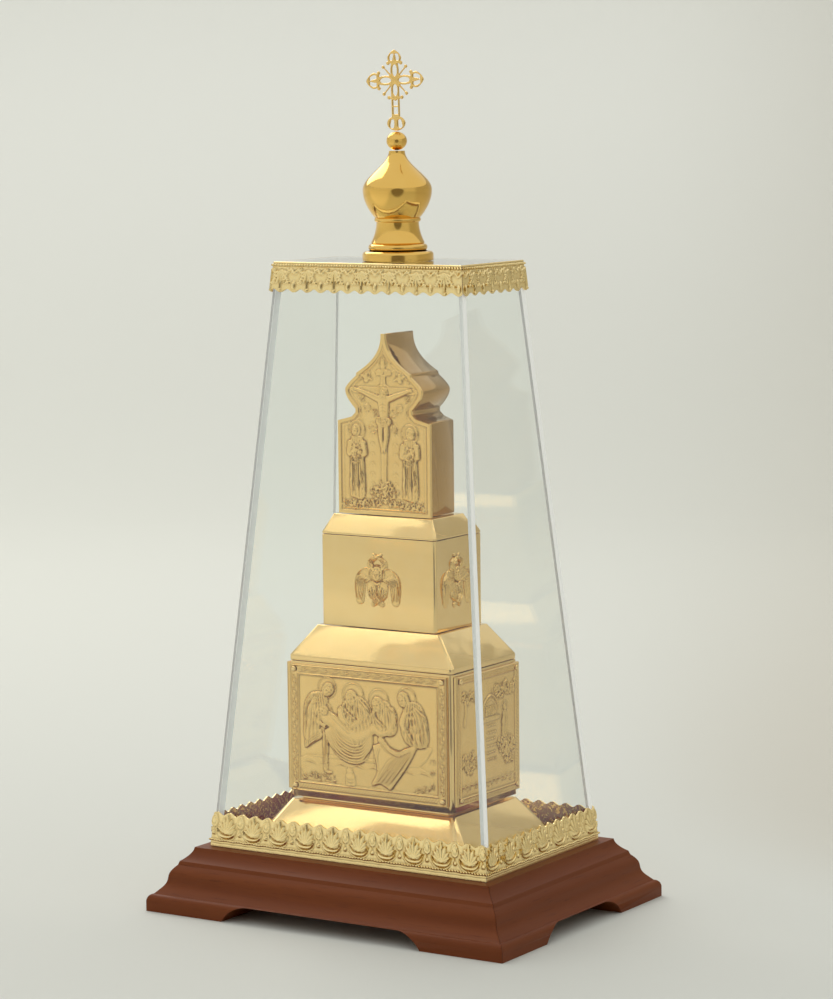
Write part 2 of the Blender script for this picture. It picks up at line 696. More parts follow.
def pressed_sheet(front, back, hollow):
    """A closed mesh from the front's grid of points and the back's, both rows x columns x 3.

    hollow is kept with each front point for the finish to read.
    """
    rows, columns = front.shape[:2]
    numbers = np.arange(rows * columns).reshape(rows, columns)
    quads = np.stack([numbers[:-1, :-1], numbers[:-1, 1:], numbers[1:, 1:], numbers[1:, :-1]],
                     axis=-1).reshape(-1, 4)
    rim = np.concatenate([numbers[0, :-1], numbers[:-1, -1], numbers[-1, :0:-1],
                          numbers[:0:-1, 0]])
    hem = np.arange(len(rim)) + rows * columns
    walls = np.stack([np.roll(rim, -1), rim, hem, np.roll(hem, -1)], axis=-1)
    points = np.concatenate([front.reshape(-1, 3), back.reshape(-1, 3)[rim]])
    mesh = bpy.data.meshes.new("pressed")
    faces = quads.tolist() + walls.tolist() + [hem[::-1].tolist()]
    mesh.from_pydata(points.tolist(), [], faces)
    kept = mesh.attributes.new("hollow", "FLOAT", "POINT")
    kept.data.foreach_set("value", np.concatenate([hollow.ravel(), np.zeros(len(rim))]))
    mesh.shade_smooth()
    mesh.set_sharp_from_angle(angle=math.radians(65))
    return mesh


def plate_border(chasing, half_width, margin, unit, rope_sides):
    """Fine raised lines with a rope, or a chain of rosettes and leaves, between them.

    unit is a millimetre in the chasing's units, margin the border's width.
    """
    edge = np.minimum(half_width - np.abs(chasing.x), np.minimum(chasing.z, 1 - chasing.z))
    frame = np.where(edge < margin, 0.24, 0.0)
    for middle in (0.12 * margin, 0.88 * margin):
        frame += 0.28 * np.cos(math.pi / 2 * np.clip(np.abs(edge - middle) / (0.45 * unit),
                                                     0, 1)) ** 2
    chasing.rise = np.where(edge < margin, np.maximum(chasing.rise * 0, frame), chasing.rise)
    line = 0.5 * margin
    inner = half_width - margin
    rows = [((-inner, line), (inner, line), True)]
    rows += [((-inner, 1 - line), (inner, 1 - line), rope_sides)]
    rows += [((side * (half_width - line), margin), (side * (half_width - line), 1 - margin),
              rope_sides) for side in (-1, 1)]
    for start, end, as_rope in rows:
        if as_rope:
            chasing.rope(start, end, 0.30 * margin, 1.9 * unit, 0.75, 0.34)
            continue
        length = math.dist(start, end)
        count = round(length / (7.2 * unit))
        for index in range(count):
            share = (index + 0.5) / count
            middle = (start[0] + (end[0] - start[0]) * share,
                      start[1] + (end[1] - start[1]) * share)
            run = ((end[0] - start[0]) / length, (end[1] - start[1]) / length)
            side = (-run[1], run[0])
            for petal in range(5):
                turn = 2 * math.pi * petal / 5
                tip = (middle[0] + 0.9 * unit * math.cos(turn),
                       middle[1] + 0.9 * unit * math.sin(turn))
                chasing.limb([middle, tip], 0.20 * unit, 0.42 * unit, 0.36, 0.24)
            for way in (-1, 1):
                reach = [1.5 * unit * way, 2.5 * unit * way, 3.4 * unit * way]
                swing = [0.0, 0.9 * unit * way, -0.2 * unit * way]
                leaf = [(middle[0] + run[0] * far + side[0] * out,
                         middle[1] + run[1] * far + side[1] * out)
                        for far, out in zip(reach, swing)]
                chasing.limb(leaf, 0.42 * unit, 0.14 * unit, 0.36, 0.22)


def entombment(chasing):
    """Four mourners bow over the dead figure, laid in a shroud on a slab."""
    c = chasing
    c.area([(-0.577, 0.095), (-0.577, 0.290), (0.465, 0.290), (0.465, 0.095)], 0.012, 0.05, 0.06)
    c.area([(0.465, 0.290), (0.561, 0.400), (0.572, 0.450), (0.402, 0.430), (0.30, 0.30)],
           0.012, 0.05, 0.09)
    c.crease([(-0.60, 0.288), (-0.20, 0.290), (0.20, 0.289), (0.475, 0.290)], 0.007, 0.16)
    c.crease([(0.465, 0.288), (0.520, 0.345), (0.561, 0.410), (0.566, 0.46)], 0.008, 0.16)
    c.crease([(0.390, 0.415), (0.47, 0.435), (0.575, 0.452)], 0.008, 0.14)

    c.ring((-0.370, 0.835), 0.080, 0.006, 0.30, 0.10)
    c.ring((-0.130, 0.793), 0.095, 0.006, 0.30, 0.10)
    c.ring((0.104, 0.771), 0.088, 0.006, 0.30, 0.10)
    c.ring((0.359, 0.812), 0.080, 0.006, 0.30, 0.10)
    c.ring((-0.402, 0.644), 0.076, 0.006, 0.30, 0.10)

    c.area([(-0.41, 0.80), (-0.52, 0.785), (-0.578, 0.70), (-0.592, 0.56), (-0.585, 0.42),
            (-0.50, 0.40), (-0.44, 0.52), (-0.40, 0.66), (-0.36, 0.74)], 0.050, 0.50, 0.10)
    c.area([(-0.17, 0.80), (-0.25, 0.68), (-0.27, 0.61), (-0.13, 0.50), (0.02, 0.56),
            (0.04, 0.68), (-0.04, 0.78)], 0.045, 0.42, 0.14)
    c.area([(0.06, 0.78), (0.04, 0.66), (0.06, 0.56), (0.20, 0.50), (0.27, 0.56),
            (0.245, 0.68), (0.185, 0.77)], 0.045, 0.42, 0.14)
    c.area([(0.36, 0.79), (0.455, 0.785), (0.525, 0.700), (0.556, 0.55), (0.535, 0.45),
            (0.44, 0.43), (0.345, 0.47), (0.30, 0.58), (0.32, 0.70)], 0.050, 0.50, 0.12)

    c.area([(-0.40, 0.50), (-0.36, 0.40), (-0.24, 0.295), (-0.165, 0.262), (-0.066, 0.268),
            (-0.01, 0.33), (0.045, 0.42), (0.02, 0.55), (-0.14, 0.50), (-0.28, 0.56)],
           0.035, 0.46, 0.14, 0.0)
    c.limb([(-0.37, 0.60), (-0.29, 0.56), (-0.20, 0.50), (-0.10, 0.468)], 0.058, 0.052,
           0.42, 0.34)
    c.limb([(-0.10, 0.468), (-0.02, 0.50), (0.06, 0.555)], 0.050, 0.040, 0.40, 0.34)
    c.limb([(0.06, 0.555), (0.12, 0.52), (0.20, 0.535)], 0.036, 0.022, 0.40, 0.34)
    c.limb([(0.20, 0.535), (0.235, 0.56)], 0.020, 0.012, 0.35, 0.34)
    c.limb([(-0.31, 0.615), (-0.25, 0.565), (-0.185, 0.515)], 0.022, 0.016, 0.34, 0.50)
    c.hand((-0.185, 0.515), (-0.145, 0.495), 0.030, 0.55)

    c.limb([(-0.50, 0.73), (-0.535, 0.64), (-0.475, 0.575)], 0.042, 0.032, 0.34, 0.42)
    c.limb([(-0.475, 0.575), (-0.425, 0.545)], 0.026, 0.016, 0.30, 0.46)
    c.hand((-0.43, 0.548), (-0.385, 0.530), 0.030)
    c.limb([(-0.24, 0.665), (-0.225, 0.60), (-0.155, 0.575)], 0.034, 0.024, 0.30, 0.40)
    c.limb([(-0.02, 0.70), (-0.05, 0.62), (-0.13, 0.555)], 0.036, 0.024, 0.30, 0.42)
    c.hand((-0.13, 0.56), (-0.165, 0.535), 0.028)
    c.limb([(0.215, 0.70), (0.235, 0.62), (0.195, 0.545)], 0.036, 0.022, 0.34, 0.40)
    c.hand((0.195, 0.548), (0.150, 0.520), 0.030)
    c.limb([(0.10, 0.665), (0.095, 0.60), (0.125, 0.555)], 0.026, 0.018, 0.28, 0.40)
    c.limb([(0.455, 0.715), (0.470, 0.62), (0.400, 0.565)], 0.044, 0.030, 0.36, 0.44)
    c.hand((0.395, 0.568), (0.335, 0.580), 0.032)
    c.limb([(0.345, 0.690), (0.315, 0.620), (0.335, 0.565)], 0.028, 0.020, 0.30, 0.40)

    c.area([(-0.415, 0.50), (-0.41, 0.20), (-0.375, 0.185), (-0.368, 0.30), (-0.365, 0.44)],
           0.022, 0.34, 0.16)
    c.limb([(-0.395, 0.19), (-0.375, 0.172), (-0.340, 0.172)], 0.016, 0.012, 0.30, 0.22)
    c.area([(-0.585, 0.40), (-0.50, 0.50), (-0.43, 0.50), (-0.42, 0.44), (-0.50, 0.39),
            (-0.575, 0.345)], 0.026, 0.36, 0.16)

    c.area([(0.045, 0.42), (0.06, 0.36), (0.085, 0.22), (0.04, 0.13), (0.05, 0.105),
            (0.115, 0.125), (0.195, 0.100), (0.285, 0.190), (0.355, 0.300), (0.400, 0.395),
            (0.440, 0.430), (0.36, 0.425), (0.295, 0.372), (0.20, 0.395), (0.135, 0.445)],
           0.028, 0.44, 0.20, 0.0)
    c.limb([(0.12, 0.470), (0.19, 0.400), (0.290, 0.372), (0.345, 0.400), (0.425, 0.430)],
           0.026, 0.020, 0.26, 0.52)
    c.limb([(0.425, 0.430), (0.37, 0.335), (0.30, 0.235), (0.200, 0.110)], 0.020, 0.024,
           0.26, 0.50)

    c.fall([(-0.385, 0.49), (-0.30, 0.335), (-0.165, 0.268), (-0.04, 0.285), (0.035, 0.40)],
           [(-0.31, 0.53), (-0.24, 0.445), (-0.14, 0.400), (-0.05, 0.420), (0.02, 0.50)],
           7, 0.013, 0.26)
    c.fall([(-0.36, 0.42), (-0.26, 0.31), (-0.13, 0.262)],
           [(-0.25, 0.42), (-0.19, 0.36), (-0.11, 0.335)], 4, 0.010, -0.16)
    c.fall([(-0.155, 0.455), (-0.12, 0.40), (-0.145, 0.33)],
           [(-0.065, 0.470), (-0.06, 0.42), (-0.115, 0.36)], 3, 0.009, 0.16)
    c.fall([(0.415, 0.415), (0.33, 0.30), (0.245, 0.19), (0.185, 0.115)],
           [(0.27, 0.375), (0.19, 0.30), (0.12, 0.20), (0.055, 0.125)], 8, 0.012, 0.40)
    c.fall([(0.115, 0.42), (0.085, 0.33), (0.10, 0.24)],
           [(0.07, 0.41), (0.06, 0.33), (0.075, 0.23)], 3, 0.009, 0.18)
    c.fall([(0.105, 0.475), (0.19, 0.415), (0.285, 0.392), (0.36, 0.42), (0.43, 0.455)],
           [(0.14, 0.440), (0.21, 0.385), (0.29, 0.362), (0.34, 0.385), (0.41, 0.415)],
           3, 0.008, 0.16)
    c.fall([(-0.57, 0.70), (-0.575, 0.60), (-0.57, 0.50)],
           [(-0.455, 0.70), (-0.47, 0.62), (-0.49, 0.52)], 5, 0.012, 0.20)
    c.fall([(-0.545, 0.745), (-0.50, 0.775), (-0.44, 0.785)],
           [(-0.52, 0.69), (-0.47, 0.715), (-0.42, 0.72)], 3, 0.010, 0.16)
    c.fall([(-0.405, 0.49), (-0.405, 0.35), (-0.40, 0.20)],
           [(-0.375, 0.47), (-0.378, 0.34), (-0.382, 0.20)], 3, 0.008, 0.18)
    c.fall([(-0.575, 0.385), (-0.51, 0.44), (-0.44, 0.475)],
           [(-0.57, 0.360), (-0.50, 0.405), (-0.43, 0.45)], 3, 0.009, 0.20)
    c.fall([(-0.235, 0.72), (-0.20, 0.62), (-0.14, 0.54)],
           [(-0.03, 0.76), (0.00, 0.66), (-0.04, 0.57)], 6, 0.012, 0.20)
    c.fall([(0.075, 0.74), (0.07, 0.65), (0.10, 0.56)],
           [(0.225, 0.74), (0.245, 0.65), (0.225, 0.56)], 6, 0.011, 0.20)
    c.fall([(0.43, 0.77), (0.50, 0.69), (0.525, 0.56)],
           [(0.355, 0.72), (0.395, 0.64), (0.42, 0.52)], 5, 0.012, 0.20)
    c.fall([(0.51, 0.56), (0.50, 0.51), (0.515, 0.455)],
           [(0.36, 0.545), (0.375, 0.50), (0.405, 0.45)], 6, 0.010, 0.20)

    for first, last, bow in (((-0.22, 0.77), (-0.10, 0.60), -0.05), ((-0.10, 0.79), (0.00, 0.61), 0.05),
                             ((0.06, 0.72), (0.16, 0.57), -0.04), ((0.17, 0.76), (0.25, 0.60), 0.05),
                             ((0.40, 0.77), (0.53, 0.58), 0.06), ((0.36, 0.66), (0.43, 0.46), -0.03),
                             ((-0.50, 0.77), (-0.56, 0.56), -0.04)):
        bend = ((first[0] + last[0]) / 2 + bow, (first[1] + last[1]) / 2)
        c.crease([first, bend, last], 0.011, 0.42)
        c.crease([(first[0] + 0.02, first[1]), (bend[0] + 0.02, bend[1]),
                  (last[0] + 0.02, last[1])], 0.010, -0.30)
    c.head((-0.365, 0.815), 0.052, -0.65, 0.5, beard=True)
    c.head((-0.138, 0.765), 0.056, 0.35, -0.4, veil=True)
    c.head((0.098, 0.735), 0.055, 0.15, -0.5)
    c.head((0.335, 0.795), 0.053, 0.30, -0.7)
    c.head((-0.405, 0.650), 0.052, 0.95, 0.4, beard=True, base=0.5)
    c.fall([(0.135, 0.765), (0.19, 0.72), (0.205, 0.62)],
           [(0.125, 0.735), (0.165, 0.69), (0.175, 0.61)], 4, 0.008, 0.16)

    c.limb([(-0.162, 0.105), (-0.162, 0.150)], 0.046, 0.044, 0.42, 0.12)
    c.limb([(-0.168, 0.170), (-0.168, 0.196)], 0.024, 0.030, 0.30, 0.16)
    c.crease([(-0.205, 0.120), (-0.162, 0.105), (-0.118, 0.120)], 0.008, -0.14)
    c.crease([(-0.205, 0.150), (-0.162, 0.138), (-0.118, 0.150)], 0.008, 0.14)
    for index in range(5):
        c.leafy((-0.57 + 0.062 * index, 0.118 + 0.016 * (index % 2)), 0.038, 10, index, 0.5)
    for index in range(4):
        c.leafy((0.44 + 0.045 * index, 0.100 + 0.016 * index), 0.034, 8, 20 + index, 0.45)
    c.leafy((0.58, 0.26), 0.030, 8, 31, 0.35)
    c.leafy((0.585, 0.34), 0.026, 7, 32, 0.30)
    for index in range(8):
        start = -0.60 + 0.15 * index
        c.crease([(start, 0.088), (start + 0.07, 0.084), (start + 0.14, 0.087)], 0.007, 0.26)
        c.crease([(start, 0.235), (start + 0.05, 0.245), (start + 0.13, 0.225)], 0.007, 0.22)


def garden(chasing):
    """Rocks, trees and an arched tomb, with a small standing figure."""
    c = chasing
    for index in range(6):
        c.leafy((-0.325 + 0.036 * index, 0.835 - 0.018 * (index % 3)), 0.045, 16, 40 + index)
    c.limb([(-0.30, 0.80), (-0.29, 0.72), (-0.31, 0.62)], 0.012, 0.018, 0.3, 0.1)
    for index in range(7):
        c.leafy((-0.335 + 0.032 * index, 0.345 - 0.030 * (index % 4)), 0.055, 16, 50 + index)
    for index in range(7):
        c.leafy((0.075 + 0.045 * index, 0.835 - 0.022 * (index % 3)), 0.055, 18, 60 + index)
    for index in range(8):
        c.leafy((0.150 + 0.030 * index, 0.400 - 0.034 * (index % 5)), 0.060, 16, 70 + index)
    arch = [(-0.105, 0.63), (-0.10, 0.735), (0.0, 0.80), (0.10, 0.735), (0.105, 0.63)]
    c.crease(arch, 0.012, 0.55)
    c.crease([(0.82 * x, 0.63 + 0.82 * (z - 0.63)) for x, z in arch], 0.009, 0.38)
    for index in range(7):
        lean = -0.065 + 0.0215 * index
        c.limb([(lean, 0.650), (0.86 * lean, 0.715)], 0.009, 0.005, 0.34, 0.08)
    c.area([(-0.115, 0.60), (-0.115, 0.63), (0.115, 0.63), (0.115, 0.60)], 0.010, 0.20, 0.12)
    for row in range(6):
        level = 0.565 - 0.052 * row
        for place in range(4):
            x = -0.060 + 0.036 * place + 0.012 * (row % 2)
            c.limb([(x, level), (x + 0.020, level - 0.004)], 0.008, 0.006, 0.30, 0.06)
    c.area([(0.182, 0.65), (0.165, 0.46), (0.245, 0.46), (0.232, 0.65)], 0.024, 0.42, 0.12)
    c.fall([(0.188, 0.62), (0.182, 0.54), (0.175, 0.47)],
           [(0.226, 0.62), (0.232, 0.54), (0.238, 0.47)], 5, 0.007, 0.18)
    c.ring((0.208, 0.682), 0.042, 0.005, 0.26, 0.08)
    c.head((0.208, 0.678), 0.024, 0.0, -0.4, base=0.3)
    c.limb([(0.190, 0.61), (0.175, 0.56), (0.205, 0.545)], 0.012, 0.009, 0.26, 0.40)
    for index in range(12):
        x = -0.38 + 0.064 * index
        c.crease([(x, 0.130), (x + 0.03, 0.142), (x + 0.064, 0.130)], 0.010, 0.30)
        c.leafy((x + 0.02, 0.112), 0.026, 5, 90 + index, 0.3)


def plain_lozenge(chasing):
    """The back plate's only ornament, a raised lozenge line about a small rosette."""
    away = np.abs(chasing.x) / 0.5 + np.abs(chasing.z - 0.5) / 0.3
    chasing.rise = 0.5 * np.cos(math.pi / 2 * np.clip(np.abs(away - 0.93) / 0.07, 0, 1)) ** 2
    for petal in range(8):
        turn = 2 * math.pi * petal / 8
        tip = (0.055 * math.cos(turn), 0.5 + 0.055 * math.sin(turn))
        chasing.limb([(0.0, 0.5), tip], 0.010, 0.020, 0.4, 0.1)


def relief_plate(side, drawing, pitch, margin, rope_sides, turn):
    """A pressed plate where the solid's plate is, with its border and its scene."""
    node = f"relief_plate_{side}"
    low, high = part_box(node)
    sideways = side in ("left", "right")
    width = (high[1] - low[1]) if sideways else (high[0] - low[0])
    middle = (low[1] + high[1]) / 2
    height = high[2] - low[2]
    chest_side = middle_of("lower_chest")
    half_across = chest_half.x if sideways else chest_half.y
    columns = round(width / pitch)
    rows = round(height / pitch)
    along = np.linspace(-width / 2, width / 2, columns + 1)
    up = np.linspace(0, height, rows + 1)
    x, z = np.meshgrid(along, up)
    chasing = Chasing(x / height, z / height)
    drawing(chasing)
    plate_border(chasing, width / 2 / height, margin / height, 0.001 / height, rope_sides)
    lift = np.clip(chasing.rise, 0, 1.2) * CHASING_RISE
    hollow = hollows(chasing.rise, 1, 3.5)
    near = half_across + JOINT_GAP
    front = np.stack([x, -near - PLATE_THICKNESS - lift, low[2] + z], axis=-1)
    back = np.stack([x, np.full_like(x, -near), low[2] + z], axis=-1)
    plate = new_piece(f"chased_plate_{side}", pressed_sheet(front, back, hollow),
                      chased_gilding(f"chased_gilding_{side}"), [node])
    plate.rotation_euler.z = turn
    plate.location.y = chest_side.y


relief_plate("front", entombment, FRONT_CHASING_PITCH, 0.0062, False, 0)
relief_plate("right", garden, SIDE_CHASING_PITCH, 0.0042, True, QUARTER)
relief_plate("back", plain_lozenge, 2 * SIDE_CHASING_PITCH, 0.0062, False, 2 * QUARTER)
relief_plate("left", garden, SIDE_CHASING_PITCH, 0.0042, True, -QUARTER)


# Rivets. A gilded brass rivet at each corner of every plate holds it to the chest. Its head is
# a low plain dome with a narrow rim.

RIVET_STEPS = 24


def rivet_head(radius, rise):
    """A low dome with a narrow rim, its axis along -Y from Y = 0."""
    profile = [(radius, 0.0), (radius, 0.25 * rise), (0.93 * radius, 0.40 * rise)]
    profile += [(0.93 * radius * math.cos(a), rise * (0.40 + 0.60 * math.sin(a)))
                for a in (0.35, 0.7, 1.05, 1.4)]
    bm = bmesh.new()
    rings = []
    for ring_radius, reach in profile:
        rings.append([bm.verts.new((ring_radius * math.cos(2 * math.pi * s / RIVET_STEPS),
                                    -reach,
                                    ring_radius * math.sin(2 * math.pi * s / RIVET_STEPS)))
                      for s in range(RIVET_STEPS)])
    for lower, upper in zip(rings, rings[1:]):
        for s in range(RIVET_STEPS):
            bm.faces.new((lower[s - 1], lower[s], upper[s], upper[s - 1]))
    bm.faces.new(rings[0][::-1])
    bm.faces.new(rings[-1])
    bmesh.ops.recalc_face_normals(bm, faces=bm.faces)
    mesh = bpy.data.meshes.new("rivet")
    bm.to_mesh(mesh)
    bm.free()
    mesh.shade_smooth()
    mesh.set_sharp_from_angle(angle=math.radians(50))
    return mesh


rivet_gilding = polished_gilding("polished_gilding_rivets", 0.0)
for side, turn in (("front", 0), ("right", QUARTER), ("back", 2 * QUARTER), ("left", -QUARTER)):
    for corner in range(1, 5):
        node = f"rivet_{side}_{corner}"
        half = half_size_of(node)
        middle = middle_of(node)
        rise = 2 * min(half)
        rivet = new_piece(f"rivet_head_{side}_{corner}", rivet_head(max(half), rise),
                          rivet_gilding, [node])
        seat = Matrix.Rotation(turn, 3, "Z") @ Vector((0, rise / 2, 0))
        rivet.location = middle + seat
        rivet.rotation_euler.z = turn


# Lids. Each storey is closed by a hipped lid of folded gilded sheet: a low upright rim, four
# sloping faces with mitred and softened hips, and a flat top that carries the storey above.

def lid(name, node, rim, inset_x, inset_y, corner):
    low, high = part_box(node)
    half = half_size_of(node)
    drop, bend = wall_offsets(inset_x, high[2] - low[2] - rim)
    inside = (half.x - SHEET, half.y - SHEET, corner - SHEET)
    mesh = folded_sheet([
        (half.x - inset_x, half.y - inset_y, corner / 2, high[2]),
        (half.x, half.y, corner, low[2] + rim),
        (half.x, half.y, corner, low[2]),
        (*inside, low[2]),
        (*inside, low[2] + rim - drop),
        (half.x - inset_x - bend, half.y - inset_y - bend, corner / 4, high[2] - SHEET),
    ])
    piece = new_piece(name, mesh, polished_gilding("polished_gilding_" + name),
                      [node])
    piece.location.y = middle_of(node).y


lid("lower_lid", "lower_roof", 0.0030, 0.0140, 0.0095, CHEST_CORNER)
lid("upper_lid", "middle_roof", 0.0010, 0.0054, 0.0054, 0.0022)


# Middle chest. A smaller box of polished gilded sheet, with a six-winged seraph raised on the
# middle of each wall by pressing it from behind and chasing its feathers from the front.

MIDDLE_CORNER = 0.0022
SERAPH_WIDTH = 0.0330
SERAPH_LEVEL = 0.0285
SERAPH_RISE = 0.0024
SERAPH_PITCH = 0.00028

middle_half_x = half_size_of("middle_roof").x
middle_half_y = half_size_of("middle_roof").y
middle_low, middle_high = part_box("middle_chest")
middle_y = middle_of("middle_roof").y
middle_mesh = open_box(middle_half_x, middle_half_y, MIDDLE_CORNER, middle_low[2],
                       middle_high[2])
middle_chest = new_piece("middle_chest_box", middle_mesh,
                         polished_gilding("polished_gilding_middle"),
                         ["middle_chest"])
middle_chest.location.y = middle_y


def wing(c, root, bend, tip, root_width, tip_width, feathers, base):
    """A wing as a tapering form, with a raised leading edge and feathers drawn along it."""
    c.limb([root, bend, tip], root_width, tip_width, 0.34, base)
    across = np.array([tip[1] - root[1], root[0] - tip[0]])
    across /= np.linalg.norm(across)
    side = 1 if root[0] < tip[0] else -1
    for feather in range(feathers):
        share = (feather + 0.5) / feathers - 0.5
        start = np.array(root) + across * share * 1.5 * root_width
        middle = np.array(bend) + across * share * 1.3 * root_width
        end = np.array(tip) + across * share * 1.6 * tip_width
        c.crease([tuple(start), tuple(middle), tuple(end)], 0.018, 0.40)
    for row in range(3):
        share = 0.12 + 0.13 * row
        middle = np.array(root) + (np.array(bend) - np.array(root)) * 2 * share
        for scale in range(4):
            spread = (scale - 1.5) / 3 * 1.4 * root_width
            start = middle + across * spread
            c.limb([tuple(start), tuple(start + 0.03 * np.array([side * 0.4, -0.9]))],
                   0.020, 0.012, 0.26, base + 0.26)


def seraph(c):
    """A face among six wings: two cross above it, two spread and two cross below."""
    for side in (-1, 1):
        wing(c, (0.11 * side, -0.12), (0.09 * side, -0.28), (-0.09 * side, -0.43), 0.115,
             0.050, 5, 0.20)
        wing(c, (0.15 * side, 0.20), (0.13 * side, 0.33), (-0.08 * side, 0.45), 0.070,
             0.030, 3, 0.12)
        wing(c, (0.20 * side, 0.06), (0.34 * side, 0.00), (0.37 * side, -0.37), 0.135,
             0.085, 7, 0.16)
        c.crease([(0.13 * side, 0.19), (0.26 * side, 0.20), (0.40 * side, 0.10),
                  (0.455 * side, -0.08), (0.45 * side, -0.38)], 0.022, 0.50)
    c.ring((0.0, 0.105), 0.165, 0.014, 0.45, 0.30)
    c.head((0.0, 0.095), 0.118, 0.0, 0.0, base=0.62)
    c.limb([(-0.06, -0.050), (0.0, -0.075), (0.06, -0.050)], 0.026, 0.026, 0.3, 0.4)


def raised_seraph(side, half_across, turn):
    """The seraph's relief sheet. Its flat ground lies inside the wall and doesn't show."""
    cells = round(SERAPH_WIDTH / SERAPH_PITCH)
    share = np.linspace(-0.5, 0.5, cells + 1)
    x, z = np.meshgrid(share, share)
    chasing = Chasing(x, z)
    seraph(chasing)
    lift = np.clip(chasing.rise, 0, 1.4) * SERAPH_RISE - JOINT_GAP
    level = middle_low[2] + SERAPH_LEVEL
    front = np.stack([x * SERAPH_WIDTH, -half_across - lift, level + z * SERAPH_WIDTH], axis=-1)
    back = np.stack([x * SERAPH_WIDTH, np.full_like(x, 0.7 * SHEET - half_across),
                     level + z * SERAPH_WIDTH], axis=-1)
    piece = new_piece(f"chased_seraph_{side}", pressed_sheet(front, back, hollows(chasing.rise, 1, 3.5)),
                      chased_gilding(f"chased_gilding_seraph_{side}", 0.16), [])
    piece.rotation_euler.z = turn
    piece.location.y = middle_y


raised_seraph("front", middle_half_y, 0)
raised_seraph("right", middle_half_x, QUARTER)
raised_seraph("back", middle_half_y, 2 * QUARTER)
raised_seraph("left", middle_half_x, -QUARTER)


# Shrine. A gilded sheet box whose front and back have the outline of an old shrine gable: square
# shoulders, a narrow neck, a round bulb, a small lobe and an ogee point. The Crucifixion is
# pressed and chased into the plate on its front, which stands a little proud all round.

SHRINE_SHOULDER = 0.0540
SHRINE_SHOULDER_END = 0.0218
SHRINE_NECK_HALF = 0.0192
SHRINE_BULB_HALF = 0.0261
SHRINE_LOBE_HALF = 0.0184
SHRINE_RIDGE_HALF = 0.0013
SHRINE_RIM = 0.0022
SHRINE_PITCH = 0.00034

shrine_low, shrine_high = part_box("shrine_body")
shrine_height = shrine_high[2] - shrine_low[2]
shrine_plate_low, shrine_plate_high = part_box("shrine_plate")


def gable_half_width(height, widest):
    """Half the width of the gable outline at a height above the shrine's foot."""
    above = (height - SHRINE_SHOULDER) / (shrine_height - SHRINE_SHOULDER)
    if above <= 0.0:
        return widest / 2
    if above < 0.05:
        return widest / 2 + (SHRINE_SHOULDER_END - widest / 2) * above / 0.05
    if above < 0.10:
        share = (above - 0.05) / 0.05
        return SHRINE_SHOULDER_END + (SHRINE_NECK_HALF - SHRINE_SHOULDER_END) * share
    if above < 0.14:
        return SHRINE_NECK_HALF
    if above < 0.36:
        swell = SHRINE_BULB_HALF - SHRINE_NECK_HALF
        return SHRINE_NECK_HALF + swell * math.sin(math.pi / 2 * (above - 0.14) / 0.22)
    if above < 0.52:
        share = (above - 0.36) / 0.16
        return SHRINE_BULB_HALF + (SHRINE_LOBE_HALF - SHRINE_BULB_HALF) * share ** 1.4
    if above < 0.55:
        return SHRINE_LOBE_HALF
    span = SHRINE_LOBE_HALF - SHRINE_RIDGE_HALF
    return SHRINE_RIDGE_HALF + span * (1 - (above - 0.55) / 0.45) ** 2.4


def gable_outline(widest, steps):
    """The outline as (x, z) from the left foot over the point to the right foot."""
    upper = shrine_height - SHRINE_SHOULDER
    levels = [0.0] + [SHRINE_SHOULDER + upper * step / steps for step in range(steps + 1)]
    right = [(gable_half_width(level, widest), level) for level in levels]
    return [(-x, z) for x, z in right] + right[::-1]


shrine_depth = shrine_high[1] - shrine_low[1]
shrine_mesh = settled(outline_prism(gable_outline(shrine_high[0] - shrine_low[0], 80),
                                    shrine_depth), [
    ("BEVEL", {"width": 0.0007, "segments": 3, "limit_method": "ANGLE",
               "angle_limit": math.radians(50), "harden_normals": True}),
], math.radians(40))
shrine = new_piece("shrine_box", shrine_mesh, polished_gilding("polished_gilding_shrine", 0.03, "B98F50", "C79E5E"),
                   ["shrine_body"])
shrine.location = (0, middle_of("shrine_body").y, shrine_low[2])


def robed_saint(c, foot_x, side, height):
    """A haloed figure in a long robe, its head bent and its hands before its breast."""
    foot = 0.095
    top = foot + height
    c.area([(foot_x - 0.048, foot), (foot_x - 0.042, foot + 0.5 * height),
            (foot_x - 0.040, foot + 0.76 * height), (foot_x, foot + 0.80 * height),
            (foot_x + 0.040, foot + 0.76 * height), (foot_x + 0.046, foot + 0.5 * height),
            (foot_x + 0.048, foot)], 0.028, 0.42, 0.10)
    c.ring((foot_x, top - 0.055), 0.052, 0.005, 0.34, 0.14)
    c.head((foot_x - 0.005 * side, top - 0.058), 0.030, -0.18 * side, -0.5 * side,
           veil=side < 0, beard=side > 0, base=0.40)
    c.fall([(foot_x - 0.045, foot + 0.70 * height), (foot_x - 0.040, foot + 0.35 * height),
            (foot_x - 0.052, foot + 0.02)],
           [(foot_x + 0.045, foot + 0.70 * height), (foot_x + 0.040, foot + 0.35 * height),
            (foot_x + 0.052, foot + 0.02)], 8, 0.007, 0.34)
    c.fall([(foot_x - 0.035, foot + 0.74 * height), (foot_x, foot + 0.66 * height),
            (foot_x + 0.035, foot + 0.74 * height)],
           [(foot_x - 0.045, foot + 0.55 * height), (foot_x - 0.01, foot + 0.44 * height),
            (foot_x + 0.045, foot + 0.52 * height)], 4, 0.007, 0.30)
    for way in (-1, 1):
        c.limb([(foot_x + 0.044 * way, foot + 0.70 * height),
                (foot_x + 0.050 * way, foot + 0.56 * height),
                (foot_x - 0.012 * side, foot + 0.62 * height)], 0.017, 0.010, 0.26, 0.52)
    c.hand((foot_x - 0.004 * side, foot + 0.60 * height),
           (foot_x - 0.022 * side, foot + 0.67 * height), 0.018, 0.6)


